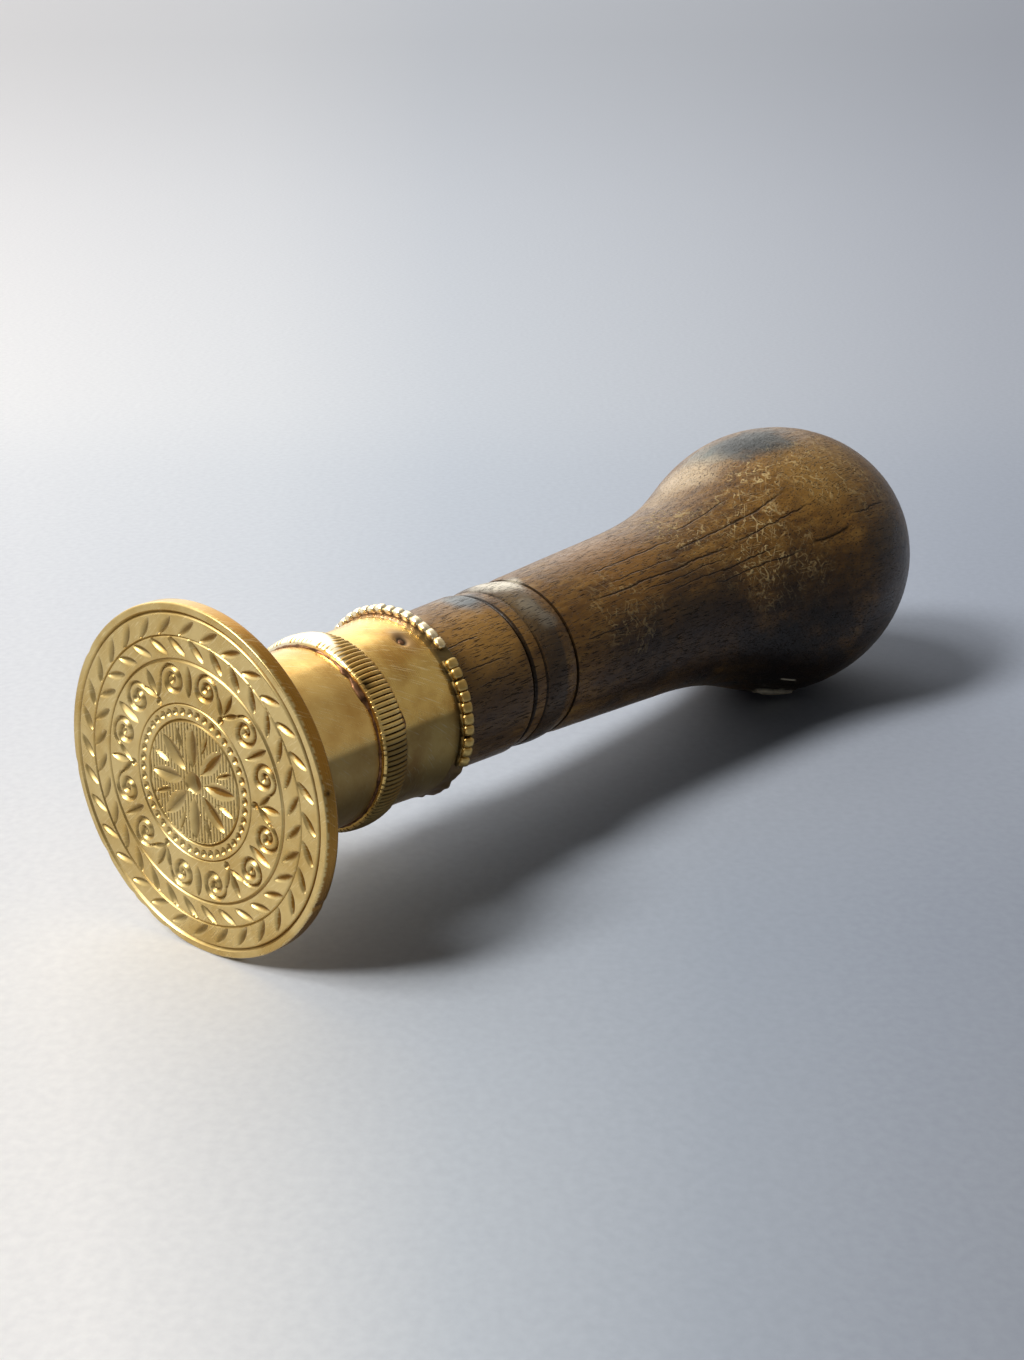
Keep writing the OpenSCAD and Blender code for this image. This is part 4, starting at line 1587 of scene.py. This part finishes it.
    def reed(self, path: Outline) -> bpy.types.Mesh:
        """Sweeps one reed along the top of the ring.

        Args:
            path: Stations and radii of the reed's middle line.

        Returns:
            The reed at the top of the turning frame.
        """
        middle = np.array(path)
        along = np.gradient(middle, axis=0)
        along /= np.linalg.norm(along, axis=1, keepdims=True)
        around = np.linspace(0.0, FULL_TURN, self.reed_sides, endpoint=False)
        up, side = self.reed_r * np.cos(around), self.reed_r * np.sin(around)
        station = middle[:, :1] - along[:, 1:] * up
        radius = middle[:, 1:] + along[:, :1] * up
        points = np.stack([-radius, np.broadcast_to(side, radius.shape), station], axis=-1)
        return looped("reed", points, ends=True)

    def run(self, seam: Seam) -> bpy.types.Mesh:
        """Lays one seam of solder along the ring, broad where it ran out in lumps.

        Args:
            seam: The seam.

        Returns:
            The mesh, laid down in place.
        """
        start, end, _ = AXIS.span(seam.node)
        near = end if seam.towards > 0.0 else start
        angle = np.linspace(0.0, 360.0, self.seam_steps, endpoint=False)
        turn = np.radians(angle)
        broad = np.full(self.seam_steps, self.seam_least)
        for size, count, shift in self.breadth_ripples:
            broad = broad + size * np.sin(count * turn + shift * near)
        for middle, half, breadth in seam.lumps:
            broad = broad + breadth * np.exp(-(apart(angle, middle) / half) ** 2)
        least, growth = self.seam_height
        size, count, shift = self.height_ripple
        tall = least + growth * broad + size * np.sin(count * turn + shift * near)
        rows = []
        for out, up in self.seam_profile:
            station = near - seam.towards * (out * broad if out > 0.0 else out)
            rows.append(round_place(station, self.sleeve_r + (up * tall if up > 0.0 else up), turn))
        return looped(seam.node + "_run", AXIS.lay(np.stack(rows).reshape(-1, 3)).reshape(len(rows), -1, 3))

    def seams(self) -> None:
        """Builds the seams of solder."""
        solder = CopperSolder().make()
        for seam in (self.front_seam, self.rear_seam):
            dress(placed(seam.node + "_run", self.run(seam)), solder, seam.node)
        start, end, _ = AXIS.span("die_seam")
        reach, sunk = end - start, self.sleeve_r - self.seam_sunk
        hollow = arc((end, self.sleeve_r + reach), (reach, reach), 180.0, 270.0, 5)
        fillet = [(start, sunk)] + hollow + [(end, sunk), (start, sunk)]
        piece = turned("die_seam_fillet", fillet, solder, wobble=0.05, ripple=2.0, seed=8.0)
        dress(piece, solder, "die_seam")

    def lip(self) -> None:
        """Builds the thin flared lip, bent and dark where the wire has gone."""
        start, end, radius = AXIS.span("rim_lip")
        root = AXIS.span("rear_sleeve")[2]
        bore = self.sleeve_r - self.wall
        edge = end - self.lip_edge
        middle = (start + edge) / 2.0
        inner = middle + self.lip_thickness
        hollow = root + (radius - root) * self.lip_hollow
        lip = [(start, bore), (start, root), (middle, hollow), (edge, radius)]
        lip += arc((edge, radius - self.lip_round), (self.lip_round,) * 2, 60.0, -60.0, 3)
        lip += [(inner, bore + self.lip_step), (inner, bore), (start, bore)]
        rubbed = bpy.data.materials[WORN_GILT.name]
        piece = turned("flared_lip", refined(lip, 0.3), rubbed, steps=360, wobble=0.03, ripple=2.5, seed=9.0)
        surface = Surface.of(piece.data)
        bare = surface.between(*self.bare_lip)
        outside = surface.radius > root - self.lip_step
        flare = np.clip((surface.station - start) / (edge - start), 0.0, 1.0) * outside
        wave = surface.ripple(*self.lip_waves) - self.lip_worn
        pink = surface.between(*self.copper_lip, soft=20.0)
        # Painted shade on the lip, less on top where its pink shows
        least, most = self.lip_shade
        under = np.clip(least + flare - pink * (1.0 - flare), 0.0, most)
        surface.mark(GRIME_AND_SHADE, np.maximum(self.bare_grime * bare, (1.0 - bare) * under))
        surface.mark(COPPER_AND_HIGHLIGHT, np.maximum(pink, self.bare_copper * bare))
        surface.move(surface.radius + wave * bare * flare)
        dress(piece, rubbed, "rim_lip")

    def pins(self) -> None:
        """Builds the heads of the pins that hold the wood in the rear sleeve."""
        station = AXIS.span("rim_lip")[0] - self.pin_inset
        low, height = self.sleeve_r - self.pin_depth, self.sleeve_r + self.pin_head
        rows = [(height - self.pin_crown * (1.0 - math.cos(a)), self.pin_r * math.sin(a)) for a in ROUNDING]
        rows = [(height, 1e-4)] + rows + [(low, self.pin_r)]
        around = np.linspace(0.0, FULL_TURN, self.pin_sides, endpoint=False)
        points = np.array([
            [(-up, r * math.cos(a), station + r * math.sin(a)) for a in around] for up, r in rows])
        solder = bpy.data.materials[CopperSolder.name]
        piece = grown("pin_heads", looped("pin", points, ends=True), ROUND, {
            "Count": self.pin_count, "Start": self.pin_angle, "Pitch": 360.0 / self.pin_count, "Stray": 0.0,
            "Spread": 0.0, "Centre": (0.0, 0.0, 0.0), "Seed": 1, "Finish": solder})
        dress(piece, solder, "fixing_pins")

    def dress(self) -> None:
        """Builds the collar's pieces in the order in which they were soldered."""
        self.sleeves()
        self.seams()
        self.ring()
        self.lip()
        self.pins()


@dataclass(frozen=True)
class BeadRun:
    """One run of beads: node, first bead and way, the beads' make, and their painted shade and highlight."""

    node: str
    count: int
    first: float
    step: float
    length: float
    height: float
    shift: float
    fill: float
    railed: bool
    # Painted shade over the whole bead and how far the dark of its foot reaches up, then how pale its top is
    # painted as a highlight
    dull: float
    gap: float
    pale: float
    rounding: float


@dataclass
class BeadedWire:
    """The beaded wire on the lip, which has broken and left two runs."""

    bead_set: float = 0.2
    buried: float = 0.25
    rail_height: float = 0.36
    rail_width: float = 0.26
    rail_gap: float = 0.05
    rail_overlap: float = 1.04
    # Painted shade: how dark the rail between the beads is, how fast the dark of a bead's foot fades
    # upwards, and how dark that foot gets
    rail_shade: float = 0.85
    foot_fade: float = 1.6
    foot_shade: float = 0.9
    turn_count: int = 54
    bead_middle: float = 1.0
    lip_edge: float = 0.3
    # Where the upper beads are painted pale near the top, as a highlight
    highlight_place: tuple[float, float] = (-110.0, 40.0)
    runs: tuple[BeadRun, ...] = (
        BeadRun("bead_run_upper", 30, 41.0, -1.0, 1.1, 0.7, 0.16, 1.03, False, 0.0, 0.35, 0.9, 0.38),
        BeadRun("bead_run_lower", 10, 48.0, 1.0, 1.32, 0.75, 0.0, 0.93, True, 0.25, 1.0, 0.0, 0.33))

    def bead(self, run: BeadRun) -> bpy.types.Mesh:
        """Builds one bead, a rounded block, with the bit of rail that joins it to the next.

        Args:
            run: The run that the bead belongs to.

        Returns:
            The bead at the top of the turning frame, with the painted shade of its foot and rail marked.
        """
        start, end, radius = AXIS.span("rim_lip")
        root = AXIS.span("rear_sleeve")[2]
        reach = end - self.lip_edge - start
        lean = math.atan2(radius - root, reach)
        up = self.bead_set + run.shift
        foot_r = (radius + root) / 2.0 + up * math.sin(lean)
        station = start + reach / 2.0 + up * math.cos(lean)
        pitch = FULL_TURN * (foot_r + run.height / 2.0) / self.turn_count
        work = bmesh.new()
        bmesh.ops.create_cube(work, size=1.0)
        bmesh.ops.bevel(work, geom=list(work.edges), offset=run.rounding, segments=2, profile=0.6,
                        affect="EDGES")
        tall = run.height + self.buried
        for v in work.verts:
            v.co = Vector(((v.co.x + 0.5) * tall - run.height, v.co.y * pitch * run.fill,
                           v.co.z * run.length))
        rail = bmesh.ops.create_cube(work, size=1.0)["verts"] if run.railed else []
        for v in rail:
            v.co = Vector(((v.co.x + 0.5) * (self.rail_height + self.buried) - self.rail_height,
                           v.co.y * pitch * self.rail_overlap,
                           v.co.z * self.rail_width - run.length / 2.0 - self.rail_gap))
        mesh = bpy.data.meshes.new("bead")
        work.to_mesh(mesh)
        work.free()
        local = np.array([v.co for v in mesh.vertices])
        # Painted shade at the bead's foot and on the rail, with the run's own shade over the rest
        grime_and_shade = np.clip(run.gap + local[:, 0] / run.height * self.foot_fade, 0.0, self.foot_shade)
        on_rail = local[:, 2] < -run.length / 2.0 - 0.01
        grime_and_shade = np.maximum(grime_and_shade, np.where(on_rail, self.rail_shade, run.dull))
        away = local[:, 0] * math.cos(lean) - local[:, 2] * math.sin(lean) - foot_r
        along = local[:, 2] * math.cos(lean) + local[:, 0] * math.sin(lean) + station
        place = np.stack([away, local[:, 1], along], axis=1)
        mesh.vertices.foreach_set("co", place.astype(np.float32).ravel())
        mesh.attributes.new(GRIME_AND_SHADE, "FLOAT", "POINT").data.foreach_set("value", grime_and_shade.astype(np.float32))
        mesh.polygons.foreach_set("use_smooth", [True] * len(mesh.polygons))
        return outwards(mesh)

    def dress(self) -> None:
        """Builds both runs of beads."""
        pitch = 360.0 / self.turn_count
        rolled = bpy.data.materials[REED_GILT.name]
        start, _, radius = AXIS.span("rim_lip")
        for seed, run in enumerate(self.runs):
            piece = grown(run.node + "_beads", self.bead(run), ROUND, {
                "Count": run.count, "Start": run.first + run.step * pitch / 2.0, "Pitch": run.step * pitch,
                "Stray": 0.5, "Spread": 0.09, "Centre": (-radius, 0.0, start + self.bead_middle),
                "Seed": 11 + seed, "Finish": rolled})
            surface = Surface.of(piece.data)
            # Painted highlight: the beads are painted pale near the top
            surface.mark(COPPER_AND_HIGHLIGHT, run.pale * surface.between(*self.highlight_place, soft=20.0))
            dress(piece, rolled, run.node)


@dataclass
class TurnedHandle:
    """The turned handle: shank, groove, fillet, band, line, waist and the bulb for the palm."""

    shank_r: float = 9.2
    shoulder_r: float = 9.75
    shank_length: float = 11.95
    shank_swell: float = 0.06
    hidden_length: float = 1.0
    shoulder_round: float = 0.42
    groove_width: float = 0.26
    groove_depth: float = 0.6
    fillet_width: float = 1.75
    fillet_r: float = 9.55
    band_width: float = 5.62
    band_r: float = 9.55
    band_crown: float = 0.3
    line_width: float = 0.2
    line_depth: float = 0.2
    edge_ease: float = 0.05
    band_ease: float = 0.14
    band_notch: float = 0.2
    waist_r: float = 9.68
    waist_ease: float = 0.04
    waist_lead: tuple[float, float] = (2.0, 0.2)
    taper_length: float = 23.2
    taper_r: float = 11.05
    swell_length: float = 32.9
    swell_lead: float = 19.0
    bulb_lead: float = 9.7
    splinter_place: tuple[float, float] = (101.0, 159.0)
    splinter_size: tuple[float, float] = (4.0, 1.6)
    splinter_lift: float = 0.45
    nick_place: tuple[float, float] = (98.0, 142.0)
    nick_size: tuple[float, float] = (1.5, 0.25)
    chip_edge: float = 0.37

    def outline(self) -> Outline:
        """Draws the handle from the hidden tenon to the end of the bulb.

        Returns:
            Stations and radii.
        """
        collar_end = AXIS.span("rim_lip")[1]
        _, tip, bulb_r = AXIS.span("handle")
        hidden = AXIS.span("rim_lip")[0] - self.hidden_length
        groove = collar_end + self.shank_length
        floor_r = self.fillet_r - self.groove_depth
        fillet = groove + 2.0 * self.shoulder_round + self.groove_width
        band = fillet + self.fillet_width
        line = band + self.band_width
        waist = line + self.line_width
        swell = waist + self.taper_length
        bulb = swell + self.swell_length
        turn = self.shoulder_round
        shape = [(hidden, 0.0), (hidden, self.shank_r), (collar_end, self.shank_r),
                 (collar_end + self.shank_length * 0.5,
                  (self.shank_r + self.shoulder_r) / 2.0 + self.shank_swell)]
        shape += arc((groove, floor_r), (turn, self.shoulder_r - floor_r), 90.0, 0.0, 6)
        shape += arc((fillet, floor_r), (turn, self.groove_depth), 180.0, 90.0, 6)
        shape += [(band - self.band_ease, self.fillet_r), (band, self.fillet_r - self.band_notch),
                  (band + self.band_ease, self.band_r)]
        rise = self.band_crown
        shape += [(band + self.band_width * t, self.band_r + rise * (1.0 - (2.0 * t - 1.0) ** 2))
                  for t in np.linspace(0.06, 0.985, 14)]
        line_r = self.band_r - self.line_depth
        shape += [(line + self.edge_ease, line_r), (waist - self.edge_ease, line_r),
                  (waist + self.waist_ease, self.waist_r),
                  (waist + self.waist_lead[0], self.waist_r + self.waist_lead[1]), (swell, self.taper_r)]
        lead = (self.taper_r - self.waist_r) / self.taper_length * self.swell_lead
        curve = ((swell, self.taper_r), (swell + self.swell_lead, self.taper_r + lead),
                 (bulb - self.bulb_lead, bulb_r), (bulb, bulb_r))
        for t in np.linspace(0.0, 1.0, 45)[1:]:
            weights = ((1 - t) ** 3, 3 * t * (1 - t) ** 2, 3 * t * t * (1 - t), t ** 3)
            shape.append((sum(w * p[0] for w, p in zip(weights, curve)),
                          sum(w * p[1] for w, p in zip(weights, curve))))
        shape += arc((bulb, 0.0), (tip - bulb, bulb_r), 90.0, 0.0, 48)[1:]
        return refined([(s, max(r, 0.0)) for s, r in shape], 0.6)

    def worn(self, mesh: bpy.types.Mesh) -> None:
        """Flattens the place under the bulb that it lies on, and lifts the splinter beside it.

        Args:
            mesh: The handle's mesh, laid down.
        """
        surface = Surface.of(mesh)
        ragged = surface.ripple((0.2, 61.0, 0.0), (0.12, 140.0, 1.0)) + 0.2 * np.sin(surface.station * 2.3)
        spot = surface.near(self.splinter_place, self.splinter_size)
        splinter = np.clip((spot - self.chip_edge * (1.0 + ragged)) * 8.0, 0.0, 1.0)
        nick = np.clip((surface.near(self.nick_place, self.nick_size) - self.chip_edge) * 6.0, 0.0, 1.0)
        surface.mark(BARE, np.maximum(splinter, nick))
        surface.move(surface.radius + self.splinter_lift * splinter)

    def dress(self) -> None:
        """Builds the handle and gives it its wood."""
        wood = TurnedWood().make()
        piece = turned("turned_handle", self.outline(), wood, steps=320, wobble=0.05, ripple=9.0, seed=14.0)
        self.worn(piece.data)
        dress(piece, wood, "handle")


class HiddenCore:
    """The tang and the cement inside the collar, which keep their solids."""

    def dress(self) -> None:
        """Gives both solids their finish."""
        finishes = {
            "die_tang": DullCore("forged_iron", "#6e675e", "#4a443d", 1.0).make(),
            "cement_fill": DullCore("resin_cement_set", "#37281d", "#20160f", 0.0).make()}
        for node, finish in finishes.items():
            solid = frame["nodes"][node]
            solid.data.materials.clear()
            solid.data.materials.append(finish)
            LOG.info("%s keeps its solid", node)


def towards(azimuth: float, elevation: float) -> Vector:
    """Finds the direction of an azimuth and an elevation in degrees."""
    around, up = math.radians(azimuth), math.radians(elevation)
    return Vector((math.cos(up) * math.cos(around), math.cos(up) * math.sin(around), math.sin(up)))


@dataclass(frozen=True)
class Lamp:
    """A far, soft lamp, by its direction, its strength and its breadth, angles in degrees."""

    name: str
    azimuth: float
    elevation: float
    strength: float
    breadth: float
    colour: str

    def hang(self) -> None:
        """Hangs the lamp."""
        place = towards(self.azimuth, self.elevation)
        light = bpy.data.lights.new(self.name, "SUN")
        light.energy = self.strength
        light.angle = math.radians(self.breadth)
        light.color = linear(self.colour)[:3]
        lamp = bpy.data.objects.new(self.name, light)
        lamp.location = place
        lamp.rotation_euler = place.to_track_quat("Z", "Y").to_euler()
        bpy.context.scene.collection.objects.link(lamp)


@dataclass
class Studio:
    """The pale paper floor, the soft lamps and the camera of the photograph."""

    camera_mm: tuple[float, float, float] = (-193.14, -148.07, 99.49)
    camera_azimuth: float = -50.44
    camera_drop: float = 19.74
    lens_mm: float = 54.16
    floor_m: float = 16.0
    # The paper's tones fan out from this place, which lies under the photograph's camera, and stay there
    paper_from_mm: tuple[float, float, float] = (-193.14, -148.07, 0.0)
    paper_heading: float = 39.56
    # Painted light and shade on the paper: by angle from the heading, paler to the left where the window is;
    # by distance ahead, darker far off; and close by, a little darker to the right
    paper: tuple[tuple[float, str], ...] = (
        (-14.0, "#fdfdfe"), (-7.0, "#edf0f4"), (-1.8, "#d8dee6"), (5.0, "#c8ced7"), (13.0, "#b0b6c1"),
        (26.0, "#8f95a0"))
    paper_depth: tuple[tuple[float, str], ...] = (
        (2400.0, "#d4d4d6"), (868.0, "#f2f2f4"), (480.0, "#ffffff"), (400.0, "#f0f3f7"), (310.0, "#ebeef3"),
        (230.0, "#eef0f3"), (150.0, "#f8f7f5"))
    paper_near: tuple[tuple[float, str], ...] = (
        (-14.0, "#ffffff"), (-8.5, "#f8f8f8"), (-2.0, "#f0f2f4"), (7.0, "#e4e8ed"), (16.0, "#eceef1"))
    near_mm: tuple[float, float] = (255.0, 190.0)
    fleck: str = "#f7f7f8"
    # Paper is finer than this, and is drawn as coarse as it needs to show
    fleck_mm: float = 10.0 / 9.0
    fleck_depth_mm: float = 0.1
    paper_roughness: float = 0.85
    paper_specular: float = 0.2
    sky: str = "#2f3032"
    walls: tuple[tuple[float, str], ...] = ((85.0, "#85817a"), (62.0, "#b4afa6"), (42.0, "#fffdf6"))
    bright_wall: tuple[float, float] = (90.0, 35.0)
    lamps: tuple[Lamp, ...] = (
        Lamp("window", 162.0, 42.5, 2.1, 16.0, "#fffdfa"),
        Lamp("window_top", 146.0, 56.0, 1.0, 18.0, "#fffdfa"),
        Lamp("far_window", 86.0, 38.0, 0.5, 60.0, "#fffdfa"),
        Lamp("side_window", 54.0, 26.0, 0.74, 60.0, "#fffdf9"),
        Lamp("room", -28.0, 28.0, 0.15, 80.0, "#fffaf4"))

    def paper_finish(self) -> bpy.types.Material:
        """Makes the floor's paper with a faint grain, and paints light on it: paler towards the window,
        darker far off.

        Returns:
            The material.
        """
        material, tree, shader = new_material("matt_paper_pressed")
        spot = add(tree, "ShaderNodeTexCoord").outputs["Object"]
        turn = Euler((0.0, 0.0, -math.radians(self.paper_heading)))
        start = Vector(self.paper_from_mm)
        start.rotate(turn)
        ahead = add(tree, "ShaderNodeMapping", {
            "Vector": spot, "Scale": (TO_MM, TO_MM, TO_MM), "Rotation": tuple(turn), "Location": -start})
        parts = add(tree, "ShaderNodeSeparateXYZ", {0: ahead.outputs[0]})
        left = joined(tree, [parts.outputs[1], parts.outputs[0]], "ARCTAN2")
        tints = []
        for stops in (self.paper, self.paper_near):
            first, last = stops[0][0], stops[-1][0]
            share = add(tree, "ShaderNodeMapRange", {
                "Value": left, "From Min": -math.radians(first), "From Max": -math.radians(last)})
            tints.append(add(tree, "ShaderNodeValToRGB", {0: share.outputs[0]}, stops=[
                ((angle - first) / (last - first), linear(code)) for angle, code in stops]).outputs[0])
        near = add(tree, "ShaderNodeMapRange", {
            "Value": parts.outputs[0], "From Min": self.near_mm[0], "From Max": self.near_mm[1]},
            interpolation_type="SMOOTHSTEP").outputs[0]
        least, most = 1.0 / self.paper_depth[0][0], 1.0 / self.paper_depth[-1][0]
        drop = joined(tree, [1.0, parts.outputs[0]], "DIVIDE")
        share = add(tree, "ShaderNodeMapRange", {"Value": drop, "From Min": least, "From Max": most})
        shade = add(tree, "ShaderNodeValToRGB", {0: share.outputs[0]}, stops=[
            ((1.0 / depth - least) / (most - least), linear(code)) for depth, code in self.paper_depth])
        shade.color_ramp.interpolation = "B_SPLINE"
        grain = add(tree, "ShaderNodeTexNoise", {
            "Vector": ahead.outputs[0], "Scale": 1.0 / self.fleck_mm, "Detail": 5.0})
        fleck = add(tree, "ShaderNodeValToRGB", {0: grain.outputs[0]}, stops=[
            (0.3, linear(self.fleck)), (0.7, linear("#ffffff"))])
        colour = tints[0]
        for factor, tint in ((near, tints[1]), (1.0, shade.outputs[0]), (1.0, fleck.outputs[0])):
            colour = add(tree, "ShaderNodeMix", {MIX_FACTOR: factor, MIX_A: colour, MIX_B: tint},
                         data_type="RGBA", blend_type="MULTIPLY").outputs[MIX_RESULT]
        tree.links.new(colour, shader.inputs["Base Color"])
        relief = add(tree, "ShaderNodeBump", {
            "Height": grain.outputs[0], "Strength": 0.25, "Distance": self.fleck_depth_mm * MM})
        tree.links.new(relief.outputs[0], shader.inputs["Normal"])
        shader.inputs["Roughness"].default_value = self.paper_roughness
        shader.inputs["Specular IOR Level"].default_value = self.paper_specular
        return material

    def room(self) -> bpy.types.World:
        """Makes the world: a dim sky that lights, and paler walls that only the camera and mirrors see.

        Returns:
            The world.
        """
        world = bpy.data.worlds.new("soft_room")
        world.use_nodes = True
        tree = world.node_tree
        ray = add(tree, "ShaderNodeLightPath").outputs
        seen = joined(
            tree, [ray[f"Is {kind} Ray"] for kind in ("Camera", "Glossy", "Transmission")], "MAXIMUM")
        spot = add(tree, "ShaderNodeTexCoord").outputs["Generated"]
        facing = add(tree, "ShaderNodeVectorMath", {0: spot, 1: towards(*self.bright_wall)},
                     operation="DOT_PRODUCT").outputs["Value"]
        wall = add(tree, "ShaderNodeValToRGB", {0: facing}, stops=[
            (math.cos(math.radians(angle)), linear(code)) for angle, code in self.walls])
        colour = add(tree, "ShaderNodeMix", {
            MIX_FACTOR: seen, MIX_A: linear(self.sky), MIX_B: wall.outputs[0]}, data_type="RGBA")
        tree.links.new(colour.outputs[MIX_RESULT], tree.nodes["Background"].inputs["Color"])
        return world

    def build(self) -> None:
        """Lays the floor, hangs the lamps and sets the camera."""
        scene = bpy.context.scene
        half = self.floor_m / 2.0
        corners = np.array([(-half, -half, 0.0), (half, -half, 0.0), (half, half, 0.0), (-half, half, 0.0)])
        floor = placed("floor", meshed("floor", corners, [(0, 1, 2, 3)]))
        floor.data.materials.append(self.paper_finish())
        scene.world = self.room()
        for lamp in self.lamps:
            lamp.hang()
        lens = bpy.data.cameras.new("camera")
        lens.lens = self.lens_mm
        camera = bpy.data.objects.new("camera", lens)
        camera.location = Vector(self.camera_mm) * MM
        turn = (90.0 - self.camera_drop, 0.0, self.camera_azimuth)
        camera.rotation_euler = tuple(math.radians(angle) for angle in turn)
        scene.collection.objects.link(camera)
        scene.camera = camera
        scene.view_settings.view_transform = "Standard"


def main() -> None:
    """Builds the studio and the seal."""
    logging.basicConfig(level=logging.INFO, format="%(name)s: %(message)s")
    Studio().build()
    EngravedDie().dress()
    Collar().dress()
    BeadedWire().dress()
    TurnedHandle().dress()
    HiddenCore().dress()


if __name__ == "__main__":
    main()
